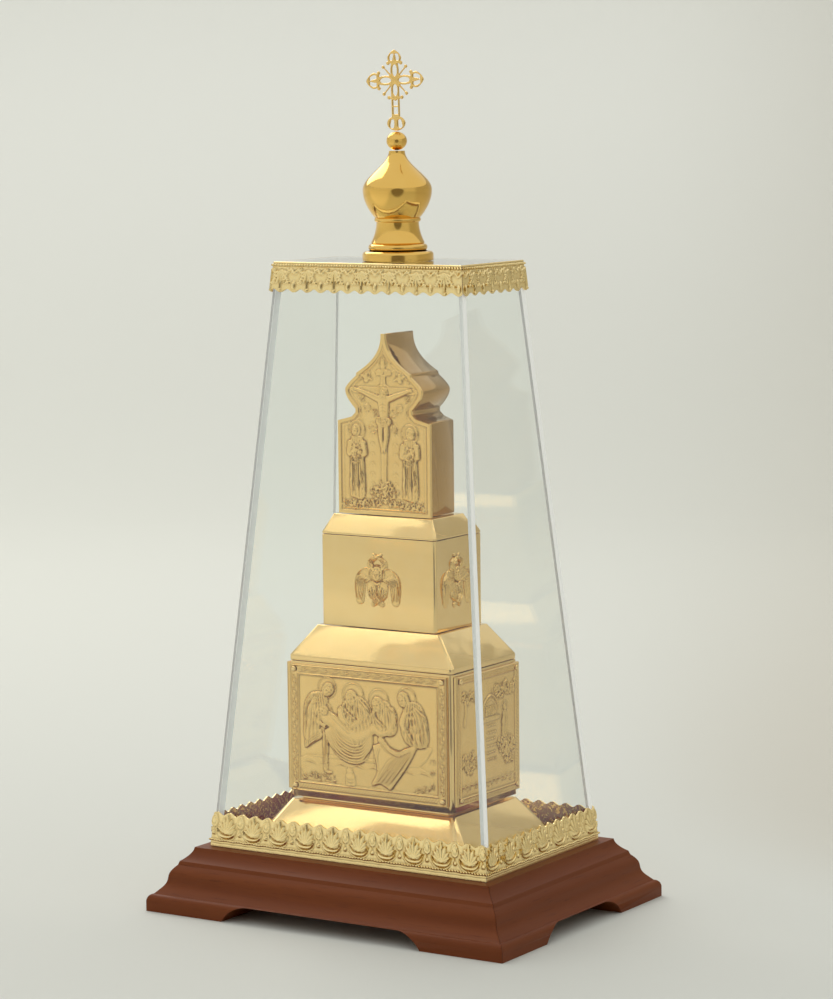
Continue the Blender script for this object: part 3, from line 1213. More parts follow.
def crucifixion(chasing):
    """The crucified figure between two standing saints, over a rocky mound."""
    c = chasing
    c.area([(-0.016, 0.14), (-0.016, 0.80), (0.016, 0.80), (0.016, 0.14)], 0.006, 0.14, 0.14)
    c.area([(-0.195, 0.672), (-0.195, 0.704), (0.195, 0.704), (0.195, 0.672)], 0.006, 0.14,
           0.14)
    c.area([(-0.045, 0.772), (-0.045, 0.800), (0.045, 0.800), (0.045, 0.772)], 0.006, 0.22,
           0.16)
    c.ring((0.0, 0.676), 0.046, 0.005, 0.34, 0.16)
    for side in (-1, 1):
        c.limb([(0.026 * side, 0.640), (0.085 * side, 0.662), (0.160 * side, 0.688)], 0.019,
               0.010, 0.40, 0.36)
        c.hand((0.160 * side, 0.688), (0.190 * side, 0.696), 0.016, 0.5)
        c.limb([(0.017 * side, 0.505), (0.018 * side, 0.44), (0.006 * side, 0.372)], 0.019,
               0.012, 0.40, 0.34)
        c.limb([(0.006 * side, 0.375), (0.008 * side, 0.352)], 0.011, 0.008, 0.36, 0.36)
        c.ring((0.108 * side, 0.770), 0.024, 0.004, 0.26, 0.10)
        c.limb([(0.108 * side, 0.775), (0.110 * side, 0.745)], 0.012, 0.016, 0.34, 0.16)
        c.limb([(0.118 * side, 0.760), (0.150 * side, 0.775)], 0.010, 0.004, 0.26, 0.12)
        c.limb([(0.100 * side, 0.758), (0.072 * side, 0.745)], 0.009, 0.004, 0.24, 0.12)
        c.ring((0.105 * side, 0.592), 0.018, 0.004, 0.28, 0.12)
        for ray in range(8):
            turn = 2 * math.pi * ray / 8
            c.crease([(0.105 * side + 0.018 * math.cos(turn), 0.592 + 0.018 * math.sin(turn)),
                      (0.105 * side + 0.030 * math.cos(turn), 0.592 + 0.030 * math.sin(turn))],
                     0.004, 0.16)
    c.limb([(0, 0.640), (0.003, 0.595), (0.004, 0.535)], 0.038, 0.027, 0.46, 0.36)
    c.crease([(0, 0.630), (0.001, 0.595), (0.002, 0.56)], 0.006, -0.12)
    for rib in range(3):
        level = 0.615 - 0.018 * rib
        c.crease([(-0.024, level - 0.006), (0.0, level + 0.002), (0.026, level - 0.006)],
                 0.004, -0.10)
    c.area([(-0.040, 0.545), (0.042, 0.540), (0.046, 0.500), (0.0, 0.486), (-0.044, 0.505)],
           0.014, 0.40, 0.44)
    c.fall([(-0.038, 0.540), (0.0, 0.520), (0.040, 0.535)],
           [(-0.040, 0.510), (0.0, 0.492), (0.042, 0.505)], 4, 0.005, 0.18)
    c.fall([(0.040, 0.530), (0.052, 0.500), (0.046, 0.462)],
           [(0.034, 0.520), (0.040, 0.495), (0.036, 0.468)], 3, 0.005, 0.20)
    c.head((0.004, 0.674), 0.027, -0.35, 0.3, beard=True, base=0.46)
    c.ring((0.0, 0.842), 0.024, 0.004, 0.30, 0.12)
    c.limb([(0.0, 0.850), (0.0, 0.828)], 0.012, 0.017, 0.34, 0.16)
    robed_saint(c, -0.176, 1, 0.425)
    robed_saint(c, 0.170, -1, 0.415)
    for index in range(14):
        x = -0.245 + 0.0375 * index
        peak = 0.085 * math.exp(-(x / 0.075) ** 2)
        c.leafy((x, 0.052 + 0.35 * peak), 0.036, 14, 110 + index, 0.5)
        if peak > 0.02:
            c.leafy((x, 0.075 + peak), 0.040, 16, 130 + index, 0.6)
    for index in range(5):
        x = -0.10 + 0.05 * index
        c.crease([(x, 0.79 + 0.004 * (index % 2)), (x + 0.02, 0.805), (x + 0.035, 0.79)],
                 0.005, 0.12)
    for side in (-1, 1):
        for index, (x, z) in enumerate(((0.062, 0.850), (0.165, 0.745), (0.150, 0.640),
                                        (0.060, 0.560), (0.070, 0.470), (0.235, 0.520))):
            c.leafy((side * x, z), 0.026, 9, 150 + 2 * index + side, 0.36)
        for index in range(7):
            level = 0.16 + 0.055 * index
            c.crease([(0.062 * side, level), (0.075 * side, level + 0.02),
                      (0.090 * side, level)], 0.006, 0.22)


def shrine_face():
    """The front plate's grid follows the gable's outline, row by row."""
    widest = shrine_plate_high[0] - shrine_plate_low[0]
    rows = round(shrine_height / SHRINE_PITCH)
    columns = round(0.85 * widest / SHRINE_PITCH)
    up = np.linspace(0, shrine_height, rows + 1)
    half = np.array([gable_half_width(level, widest) for level in up])
    share = np.linspace(-1, 1, columns + 1)
    x = half[:, None] * share[None, :]
    z = np.repeat(up[:, None], columns + 1, axis=1)
    chasing = Chasing(x / shrine_height, z / shrine_height)
    crucifixion(chasing)
    outline = np.array(gable_outline(widest, 80))
    rim = np.full(x.shape, np.inf)
    for start, end in zip(outline, np.roll(outline, -1, axis=0)):
        run = end - start
        length = max(float(run @ run), 1e-12)
        t = np.clip(((x - start[0]) * run[0] + (z - start[1]) * run[1]) / length, 0, 1)
        rim = np.minimum(rim, np.hypot(x - start[0] - t * run[0], z - start[1] - t * run[1]))
    frame_lift = 0.30 * np.clip((SHRINE_RIM - rim) / 0.0004, 0, 1)
    bead = 0.22 * np.cos(math.pi / 2 * np.clip(np.abs(rim - 1.55 * SHRINE_RIM) / 0.0005,
                                               0, 1)) ** 2
    shown = np.clip((rim - SHRINE_RIM) / 0.0006, 0, 1)
    lift = np.maximum(frame_lift, np.maximum(bead, np.clip(chasing.rise, 0, 1.2) * shown))
    face = shrine_plate_high[1]
    front = np.stack([x, face - PLATE_THICKNESS - lift * CHASING_RISE,
                      shrine_plate_low[2] + z], axis=-1)
    back = np.stack([x, np.full_like(x, face), shrine_plate_low[2] + z], axis=-1)
    return pressed_sheet(front, back, hollows(lift, 1, 3.5))


new_piece("chased_shrine_plate", shrine_face(), chased_gilding("chased_gilding_shrine", 0.17),
          ["shrine_plate"])


# Glass case. Five plates of 4 mm clear float glass, glued edge to edge with clear resin. The
# front and back plates lean in and run the full width, and their ground edges show as a thin
# pale strip at each corner.

GLASS_ARRIS = 0.00035


def float_glass():
    """Clear float glass: polished, colourless across its faces."""
    material, tree, shader = new_finish("float_glass")
    streak_spacing = 0.12
    place = add_node(tree, "ShaderNodeTexCoord")
    streaks = add_node(tree, "ShaderNodeTexNoise", {"Vector": place.outputs["Object"],
                                                    "Scale": 1 / streak_spacing})
    draw = add_node(tree, "ShaderNodeBump", {"Height": streaks.outputs["Fac"],
                                             "Strength": 0.02, "Distance": 0.002})
    tree.links.new(draw.outputs["Normal"], shader.inputs["Normal"])
    shader.inputs["Base Color"].default_value = linear("FDFFFE")
    shader.inputs["Transmission Weight"].default_value = 1.0
    shader.inputs["Roughness"].default_value = 0.0
    shader.inputs["IOR"].default_value = 1.5
    return material


def ground_glass_edge():
    """The ground and washed edge of the same glass: a pale satin white that gathers the
    light of the whole pane and so looks a little lit."""
    haze_spacing = 0.0025
    material, tree, shader = new_finish("ground_glass_edge")
    place = add_node(tree, "ShaderNodeTexCoord")
    haze = add_node(tree, "ShaderNodeTexNoise", {"Vector": place.outputs["Object"],
                                                 "Scale": 1 / haze_spacing})
    dull = add_node(tree, "ShaderNodeMapRange", {"Value": haze.outputs["Fac"],
                                                 "To Min": 0.28, "To Max": 0.42})
    tree.links.new(dull.outputs["Result"], shader.inputs["Roughness"])
    shader.inputs["Base Color"].default_value = linear("FAFBF9")
    shader.inputs["Emission Color"].default_value = linear("F4F8F4")
    shader.inputs["Emission Strength"].default_value = 0.15
    return material


clear_glass = float_glass()
edge_glass = ground_glass_edge()
for side in ("front", "back", "left", "right", "top"):
    node = f"pane_{side}"
    mesh = settled(frame["nodes"][node].data.copy(), [
        ("BEVEL", {"width": GLASS_ARRIS, "segments": 1, "limit_method": "ANGLE",
                   "angle_limit": math.radians(40), "harden_normals": False}),
    ], math.radians(20))
    sheet = new_piece(f"glass_{side}", mesh, clear_glass, [node])
    sheet.data.materials.append(edge_glass)
    broad = 0.3 * max(face.area for face in mesh.polygons)
    for face in mesh.polygons:
        face.material_index = 0 if face.area > broad else 1
    sheet.visible_shadow = False


# Gallery and band. Strips of thin brass stamped with a running palmette border, gilded, mitred
# and glued to the glass: the gallery stands round the case's foot with its crest upward, and
# the deeper-cut band hangs round its top with its crest down. Behind the glass their backs
# show the dark red lacquer that they were painted with.

STRIP_THICKNESS = 0.0007
STRIP_RELIEF = 0.0011
CREST_DEPTH = 0.0019
PALMETTE_PITCH = 0.01845
BAND_SHIFT = -0.0065
UNIT_COLUMNS = 52
STRIP_ROWS = 50
UNIT_WIDTH = 18.45
GALLERY_REACH = 20.0
BAND_REACH = 17.2
GILT_LIP = 0.0009


def stamped_brass(name):
    """Thin gilded brass out of the press: bright, a little granular in its hollows."""
    grain_spacing = 0.0012
    material, tree, shader = new_finish(name)
    place = add_node(tree, "ShaderNodeTexCoord")
    grain = add_node(tree, "ShaderNodeTexNoise", {"Vector": place.outputs["Object"],
                                                  "Scale": 1 / grain_spacing,
                                                  "Detail": 3.0})
    hue = add_node(tree, "ShaderNodeMixRGB", {"Fac": grain.outputs["Fac"],
                                              "Color1": linear("FFDC92"),
                                              "Color2": linear("FFF0BC")})
    tree.links.new(toned_by_hollows(tree, hue.outputs["Color"], "A27834"),
                   shader.inputs["Base Color"])
    dull = add_node(tree, "ShaderNodeMapRange", {"Value": grain.outputs["Fac"],
                                                 "To Min": 0.14, "To Max": 0.28})
    tree.links.new(dull.outputs["Result"], shader.inputs["Roughness"])
    tooth = add_node(tree, "ShaderNodeBump", {"Height": grain.outputs["Fac"],
                                              "Strength": 0.04, "Distance": 0.0003})
    tree.links.new(tooth.outputs["Normal"], shader.inputs["Normal"])
    shader.inputs["Metallic"].default_value = 1.0
    return material


def lacquered_back():
    """Dark cherry lacquer brushed on the back of the stamping, rubbed through in curls."""
    curl_spacing = 0.0035
    material, tree, shader = new_finish("cherry_lacquer_back")
    place = add_node(tree, "ShaderNodeTexCoord")
    curls = add_node(tree, "ShaderNodeTexNoise", {"Vector": place.outputs["Object"],
                                                  "Scale": 1 / curl_spacing,
                                                  "Detail": 1.0, "Distortion": 2.5})
    worn = add_node(tree, "ShaderNodeMapRange", {"Value": curls.outputs["Fac"],
                                                 "From Min": 0.555, "From Max": 0.575})
    hue = add_node(tree, "ShaderNodeMixRGB", {"Fac": worn.outputs["Result"],
                                              "Color1": linear("8C2A38"),
                                              "Color2": linear("E8C37C")})
    tree.links.new(hue.outputs["Color"], shader.inputs["Base Color"])
    tree.links.new(worn.outputs["Result"], shader.inputs["Metallic"])
    shader.inputs["Roughness"].default_value = 0.5
    shader.inputs["Specular IOR Level"].default_value = 0.3
    return material


def ridge(distance, width):
    """1 on a line and 0 a width away from it."""
    return np.cos(math.pi / 2 * np.clip(np.abs(distance) / width, 0, 1)) ** 2


def boss(x, z, centre, half_x, half_z):
    """A round or oval knob, 1 at its middle."""
    return np.sqrt(np.clip(1 - ((x - centre[0]) / half_x) ** 2
                           - ((z - centre[1]) / half_z) ** 2, 0, 1))


def leaf(x, z, start, lean, length, width):
    """A pointed leaf with a sharp midrib. lean is its angle from the vertical."""
    run = (x - start[0]) * math.sin(lean) + (z - start[1]) * math.cos(lean)
    aside = np.abs((x - start[0]) * math.cos(lean) - (z - start[1]) * math.sin(lean))
    share = np.clip(run / length, 0, 1)
    half = width * (0.15 + 0.85 * np.sin(math.pi * share ** 0.75) ** 0.8)
    body = np.sqrt(np.clip(1 - (aside / half) ** 2, 0, 1)) * ((run > 0) & (run < length))
    return body * (0.72 + 0.28 * ridge(aside, 0.3 * width))


def strip_beads(x, z, level):
    """A row of beads across the strip at a level, ten to a unit."""
    pitch = UNIT_WIDTH / 10
    place = x - pitch * np.round(x / pitch)
    return boss(place, z, (0, level), 0.40 * pitch, 0.40 * pitch)


def gallery_palmette(across, up):
    """A fan of leaves in a crescent bowl, with a bud and a lobe between two fans."""
    x = across * UNIT_WIDTH
    z = up * GALLERY_REACH
    lift = 0.20 * ridge(z - 2.6, 0.35)
    lift = np.maximum(lift, 1.0 * strip_beads(x, z, 4.0))
    away = np.hypot(x, z - 12.4)
    turn = np.arctan2(x, 12.4 - z)
    taper = np.clip(1.45 - np.abs(turn), 0, 1.45) / 1.45
    lift = np.maximum(lift, 1.0 * ridge(away - 6.4, 0.40 + 1.15 * taper) * (taper > 0))
    lift = np.maximum(lift, 0.40 * ridge(away - 8.1, 0.4) * (taper > 0.3))
    for step, length in ((0, 12.0), (1, 11.0), (2, 9.4), (3, 7.2)):
        for side in (-1, 1):
            lean = math.radians(17) * step * side
            lift = np.maximum(lift, 0.88 * leaf(x, z, (0, 7.6), lean, length, 1.6))
    edge = UNIT_WIDTH / 2 - np.abs(x)
    lift = np.maximum(lift, 0.95 * boss(edge, z, (0, 8.0), 1.15, 1.15))
    lift = np.maximum(lift, 0.50 * ridge(edge, 0.45) * ((z > 9) & (z < 13)))
    lobe = boss(edge, z, (0, 15.2), 2.3, 4.0)
    arc = ridge(np.hypot(edge / 2.3, (z - 15.2) / 4.0) - 0.62, 0.18)
    return np.maximum(lift, np.where(lobe > 0, 0.30 + 0.42 * lobe - 0.30 * arc, 0))


def band_acanthus(across, up):
    """A pair of acanthus leaves over a small eye and a drop, with feathers between pairs."""
    x = across * UNIT_WIDTH
    z = up * BAND_REACH
    side = np.abs(x)
    lift = 0.30 * ridge(z - 0.5, 0.5)
    lift = np.maximum(lift, 1.0 * strip_beads(x, z, 1.9))
    lift = np.maximum(lift, 0.30 * ridge(z - 3.2, 0.4))
    away = np.hypot(side - 2.6, (z - 9.0) * 0.72)
    turn = np.arctan2(side - 2.6, 9.0 - z)
    rib = ridge(away - 2.9 - 0.25 * np.cos(7 * turn), 1.0)
    lift = np.maximum(lift, (0.70 + 0.20 * np.cos(14 * turn)) * rib * (turn > -0.9))
    for step in range(5):
        lean = math.radians(150 - 28 * step)
        root = (2.6 + 2.2 * math.sin(math.radians(30 + 30 * step)),
                8.6 - 2.6 * math.cos(math.radians(30 + 30 * step)))
        lift = np.maximum(lift, 0.72 * leaf(side, z, root, lean, 3.6, 0.85))
    lift = np.maximum(lift, 0.90 * boss(side, z, (0, 13.2), 1.25, 2.6))
    lift = np.maximum(lift, 0.55 * ridge(side, 0.5) * ((z > 4) & (z < 6.5)))
    edge = UNIT_WIDTH / 2 - side
    for step, length in ((0, 11.0), (1, 9.6), (2, 7.4)):
        lift = np.maximum(lift, 0.75 * leaf(edge, z, (0, 4.2), math.radians(17) * step,
                                            length, 1.1))
    lift = np.maximum(lift, 0.85 * boss(edge, z, (0, 15.9), 0.9, 0.9))
    return lift * (1 - boss(side, z, (0, 8.8), 1.2, 1.6))


def case_half(height, foot_half, top_half):
    share = (height - case_foot) / (case_top - case_foot)
    return foot_half + (top_half - foot_half) * share


def stamped_strip(name, node, pattern, hanging, shift, turn):
    """A mitred strip that leans with its pane, turned to its side of the case."""
    low, high = strip_levels[node.split("_")[0]]
    sideways = turn % math.pi != 0
    along_halves = case_halves[1] if sideways else case_halves[0]
    across_halves = case_halves[0] if sideways else case_halves[1]
    half_foot = case_half(low, *along_halves)
    units = round(2 * half_foot / PALMETTE_PITCH)
    span = np.linspace(-1, 1, units * UNIT_COLUMNS + 1)
    share = np.linspace(0, 1, STRIP_ROWS + 1)
    span, share = np.meshgrid(span, share)
    across = span * half_foot / PALMETTE_PITCH + shift
    crest = CREST_DEPTH * (0.5 - 0.5 * np.cos(4 * math.pi * across))
    reach = high - low - crest
    level = high - reach * (1 - share) if hanging else low + reach * share
    up = 1 - share if hanging else share
    lift = pattern(across - np.floor(across + 0.5), up)

    def skin(outward, height):
        side = case_half(height, *along_halves) + outward - JOINT_GAP / 2
        return np.stack([span * side, -case_half(height, *across_halves) - outward, height],
                        axis=-1)

    front = skin(JOINT_GAP + STRIP_THICKNESS + STRIP_RELIEF * np.clip(lift, 0, 1), level)
    mesh = pressed_sheet(front, skin(JOINT_GAP, level), hollows(lift, 1, 2.2))
    piece = new_piece(name, mesh, stamped_brass("stamped_brass_" + name),
                      [node])
    mesh.materials.append(cherry_back)
    mesh.polygons[len(mesh.polygons) - 1].material_index = 1
    piece.rotation_euler.z = turn


cherry_back = lacquered_back()
pane_low, pane_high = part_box("pane_front")
top_low, top_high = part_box("pane_top")
case_foot = pane_low[2]
case_top = top_high[2]
case_halves = ((pane_high[0], top_high[0]), (-pane_low[1], top_high[1]))
strip_levels = {"gallery": (case_foot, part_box("gallery_front")[1][2]),
                "band": (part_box("band_front")[0][2], case_top)}
for side, turn in (("front", 0), ("right", QUARTER), ("back", 2 * QUARTER), ("left", -QUARTER)):
    sideways = side in ("left", "right")
    units = round(2 * case_halves[1 if sideways else 0][0] / PALMETTE_PITCH)
    stamped_strip(f"palmette_gallery_{side}", f"gallery_{side}", gallery_palmette, False,
                  0.5 if units % 2 == 0 else 0.0, turn)
    stamped_strip(f"acanthus_band_{side}", f"band_{side}", band_acanthus, True,
                  BAND_SHIFT / PALMETTE_PITCH, turn)


# Cupola. An onion dome with its neck and stepped base, spun in one piece from brass sheet,
# polished bright and gilded, and set on the glass top.

CUPOLA_BASE = (0.0206, 0.0054)
CUPOLA_TIER = (0.0171, 0.0042)
CUPOLA_NECK = (0.0123, 0.0124)
CUPOLA_BEAD = 0.0012
ONION_RADIUS = 0.0200
ONION_RISES = (0.0160, 0.0223)
ONION_TOP = 0.0046
TURNED_STEPS = 96


def cupola_outline():
    """(radius, height) up the cupola's outside, with small rounds where metal was spun over."""
    round_off = 0.42 * CUPOLA_BASE[1]
    points = [(CUPOLA_BASE[0], 0.0)]
    for step in range(9):
        turn = math.pi / 2 * step / 8
        points.append((CUPOLA_BASE[0] - round_off * (1 - math.cos(turn)),
                       CUPOLA_BASE[1] - round_off * (1 - math.sin(turn))))
    height = CUPOLA_BASE[1]
    torus = CUPOLA_TIER[1] / 2
    for step in range(13):
        turn = math.pi * (step / 12 - 0.5)
        points.append((CUPOLA_TIER[0] - torus * (1 - math.cos(turn)),
                       height + torus * (1 + math.sin(turn))))
    height += CUPOLA_TIER[1]
    flare = CUPOLA_TIER[0] - 0.6 * torus - CUPOLA_NECK[0]
    for step in range(1, 21):
        share = step / 20
        points.append((CUPOLA_NECK[0] + flare * (1 - share) ** 1.9,
                       height + CUPOLA_NECK[1] * share))
    height += CUPOLA_NECK[1]
    for step in range(1, 9):
        turn = math.pi * step / 8
        points.append((CUPOLA_NECK[0] + 0.7 * CUPOLA_BEAD * math.sin(turn)
                       + CUPOLA_BEAD / 2 * step / 8,
                       height + CUPOLA_BEAD * (1 - math.cos(turn))))
    height += 2 * CUPOLA_BEAD
    swell = ONION_RADIUS - CUPOLA_NECK[0] - CUPOLA_BEAD / 2
    for step in range(1, 17):
        share = step / 16
        points.append((ONION_RADIUS - swell * (1 - math.sin(math.pi / 2 * share) ** 0.85),
                       height + ONION_RISES[0] * share))
    height += ONION_RISES[0]
    taper = ONION_RADIUS - ONION_TOP
    for step in range(1, 25):
        share = step / 24
        points.append((ONION_TOP + taper * (1 + math.cos(math.pi * share)) / 2,
                       height + ONION_RISES[1] * share))
    return points


def turned(section):
    """A section of (radius, height) turned about Z, closed where it meets the axis."""
    bm = bmesh.new()
    rings = []
    for radius, height in section:
        count = TURNED_STEPS if radius > 0 else 1
        rings.append([bm.verts.new((radius * math.cos(2 * math.pi * s / TURNED_STEPS),
                                    radius * math.sin(2 * math.pi * s / TURNED_STEPS), height))
                      for s in range(count)])
    for lower, upper in zip(rings, rings[1:]):
        for s in range(TURNED_STEPS):
            corners = [lower[(s - 1) % len(lower)], lower[s % len(lower)],
                       upper[s % len(upper)], upper[(s - 1) % len(upper)]]
            bm.faces.new(list(dict.fromkeys(corners)))
    bmesh.ops.recalc_face_normals(bm, faces=bm.faces)
    mesh = bpy.data.meshes.new("turned")
    bm.to_mesh(mesh)
    bm.free()
    mesh.shade_smooth()
    mesh.set_sharp_from_angle(angle=math.radians(42))
    return mesh


cupola_low, cupola_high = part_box("cupola")
outside = cupola_outline()
inside = [(radius - SHEET, height) for radius, height in outside[8:-3]]
inside = [(CUPOLA_BASE[0] - SHEET, 0.0)] + inside
section = ([(0.0, outside[-1][1])] + outside[::-1] + inside + [(0.0, inside[-1][1])])
cupola = new_piece("spun_onion_cupola", turned(section), polished_gilding("spun_gilding", 0.012, "EDBE62", "F3C870"),
                   ["cupola"])
cupola.location.z = cupola_low[2]


# Finial ball. A small flattened brass ball, turned and gilded, between the cupola and the cross.

ball_half = half_size_of("finial_ball")
ball_steps = 32
ball_section = [(ball_half.x * math.sin(math.pi * step / ball_steps),
                 ball_half.z * math.cos(math.pi * step / ball_steps))
                for step in range(1, ball_steps)]
ball_section = [(0.0, ball_half.z)] + ball_section + [(0.0, -ball_half.z)]
ball = new_piece("finial_ball_gilded", turned(ball_section),
                 polished_gilding("turned_gilding_ball", 0.0, "EDBE62", "F3C870"), ["finial_ball"])
ball.location = middle_of("finial_ball")


# Cross. A flat pierced cross of gilded cast brass with leafy heart-shaped ends, round knobs,
# rays between its arms and a round foot, leaning a little on its pin.

CROSS_HEIGHT = 0.0464
CROSS_SPAN = 0.0394
CROSS_THICKNESS = 0.0016
CROSS_LEAN = math.radians(1.5)
CROSS_UPPER_SHARE = 0.377
CROSS_VOXEL = 0.00022


class Casting:
    """A flat pierced casting as a field over X and Z: solid where it is above 0, and thicker
    along the middle of each bar."""

    def __init__(self, x, z):
        self.x = x
        self.z = z
        self.field = np.full(x.shape, -1.0)

    def join(self, other):
        self.field = np.maximum(self.field, other)

    def pierce(self, other):
        self.field = np.minimum(self.field, -other)

    def bar(self, start, end, first, last):
        run = (end[0] - start[0], end[1] - start[1])
        length = run[0] ** 2 + run[1] ** 2
        t = 0.0
        if length > 0:
            t = np.clip(((self.x - start[0]) * run[0] + (self.z - start[1]) * run[1]) / length,
                        0, 1)
        away = np.hypot(self.x - start[0] - t * run[0], self.z - start[1] - t * run[1])
        return first + (last - first) * t - away

    def bead(self, centre, radius):
        return self.bar(centre, centre, radius, radius)


def cross_casting():
    """The cross's outline as a field, with its middle on the axis and its foot at Z = 0."""
    upper = CROSS_HEIGHT * CROSS_UPPER_SHARE
    arm = CROSS_SPAN / 2
    middle = CROSS_HEIGHT - upper
    wire = 0.041 * upper
    x, z = np.meshgrid(np.arange(-0.54 * CROSS_SPAN, 0.54 * CROSS_SPAN, CROSS_VOXEL),
                       np.arange(-0.0012, CROSS_HEIGHT + 0.0012, CROSS_VOXEL))
    cast = Casting(x, z)
    cast.join(cast.bead((0, middle), 0.10 * upper))
    for edge in (-1, 1):
        rail = 0.125 * upper * edge
        cast.join(cast.bar((rail, 0.42 * upper), (rail, middle - 0.42 * upper), wire, wire))
    for level in (0.52, 0.80, 1.08):
        cast.join(cast.bar((-0.12 * upper, level * upper), (0.12 * upper, level * upper),
                           0.8 * wire, 0.8 * wire))
    for turn in range(4):
        reach = arm if turn % 2 == 0 else upper
        along = (math.cos(QUARTER * turn), math.sin(QUARTER * turn))
        out = along[0] * x + along[1] * (z - middle)
        off = np.abs(-along[1] * x + along[0] * (z - middle))

        def at(distance, aside=0.0):
            return (along[0] * distance - along[1] * aside,
                    middle + along[1] * distance + along[0] * aside)

        long_half = 0.27 * reach
        wide_half = 0.125 * upper
        oval = np.hypot((out - 0.32 * reach) / long_half, off / wide_half)
        cast.join(wire - np.abs(oval - 1) * wide_half)
        slant = QUARTER * (turn + 0.5)
        tip = (0.62 * upper * math.cos(slant), middle + 0.62 * upper * math.sin(slant))
        cast.join(cast.bar((0, middle), tip, 0.040 * upper, 0.028 * upper))
        cast.join(cast.bead(tip, 0.066 * upper))
        for edge in (-1, 1):
            cast.join(cast.bead(at(0.56 * reach, 0.25 * upper * edge), 0.070 * upper))
            cast.join(cast.bar(at(0.56 * reach, 0.25 * upper * edge), at(0.60 * reach),
                               wire, wire))
        if turn < 3:
            share = np.clip((out / reach - 0.56) / 0.44, 0, 1)
            wide = 0.27 * upper * np.sin(math.pi * (0.22 + 0.78 * share)) ** 0.75
            end = np.minimum(np.minimum(wide - off, out - 0.56 * reach), (reach - out) * 0.6)
            cast.join(np.minimum(end, 2.2 * wire - end))
            cast.join(cast.bar(at(0.66 * reach), at(0.80 * reach), 0.075 * upper,
                               0.045 * upper))
            cast.join(cast.bar(at(0.56 * reach), at(0.96 * reach), 0.6 * wire, 0.6 * wire))
    foot = 1 - np.hypot(x / (0.36 * upper), (z - 0.25 * upper) / (0.25 * upper))
    cast.join(foot * 0.3 * upper)
    for edge in (-1, 1):
        cast.pierce(cast.bar((0.16 * upper * edge, 0.17 * upper),
                             (0.14 * upper * edge, 0.31 * upper), 0.075 * upper, 0.060 * upper))
    return cast


def cast_cross(cast):
    """The field as a closed mesh: flat back and front with rounded edges."""
    solid = cast.field > 0
    rise = CROSS_THICKNESS / 2 * (0.35 + 0.65 * np.sqrt(np.clip(cast.field / 0.0010, 0, 1)))
    rows, columns = solid.shape
    cells = solid[:-1, :-1] & solid[1:, :-1] & solid[:-1, 1:] & solid[1:, 1:]
    bm = bmesh.new()
    front = {}
    back = {}

    def corner(row, column):
        key = (row, column)
        if key not in front:
            place = (cast.x[key], cast.z[key])
            front[key] = bm.verts.new((place[0], -rise[key], place[1]))
            back[key] = bm.verts.new((place[0], rise[key], place[1]))
        return front[key], back[key]

    for row in range(rows - 1):
        for column in range(columns - 1):
            if not cells[row, column]:
                continue
            ring = [corner(row, column), corner(row, column + 1),
                    corner(row + 1, column + 1), corner(row + 1, column)]
            bm.faces.new([pair[0] for pair in ring])
            bm.faces.new([pair[1] for pair in ring[::-1]])
            sides = ((-1, 0), (0, 1), (1, 0), (0, -1))
            for index, (down, across) in enumerate(sides):
                near_row, near_column = row + down, column + across
                if (0 <= near_row < rows - 1 and 0 <= near_column < columns - 1
                        and cells[near_row, near_column]):
                    continue
                first, second = ring[index], ring[(index + 1) % 4]
                bm.faces.new([second[0], first[0], first[1], second[1]])
    mesh = bpy.data.meshes.new("cross")
    bm.to_mesh(mesh)
    bm.free()
    return settled(mesh, [
        ("SMOOTH", {"factor": 0.5, "iterations": 6}),
    ], math.radians(50))


cross_low, cross_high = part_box("cross")
cross = new_piece("pierced_cross", cast_cross(cross_casting()),
                  polished_gilding("cast_gilding", 0.02, "F0C778", "F6D288"), ["cross"])
cross.location.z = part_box("finial_ball")[1][2] + JOINT_GAP
cross.rotation_euler.y = -CROSS_LEAN


# Stage. A seamless pale paper sweep under and all round the object, greyer at the back on the
# right where the polished right sides look, a bright even sky and a soft box high on the left.

SWEEP_RADIUS = 2.6
SWEEP_BEND = 0.8
SWEEP_HEIGHT = 1.5
SWEEP_STEPS = 96


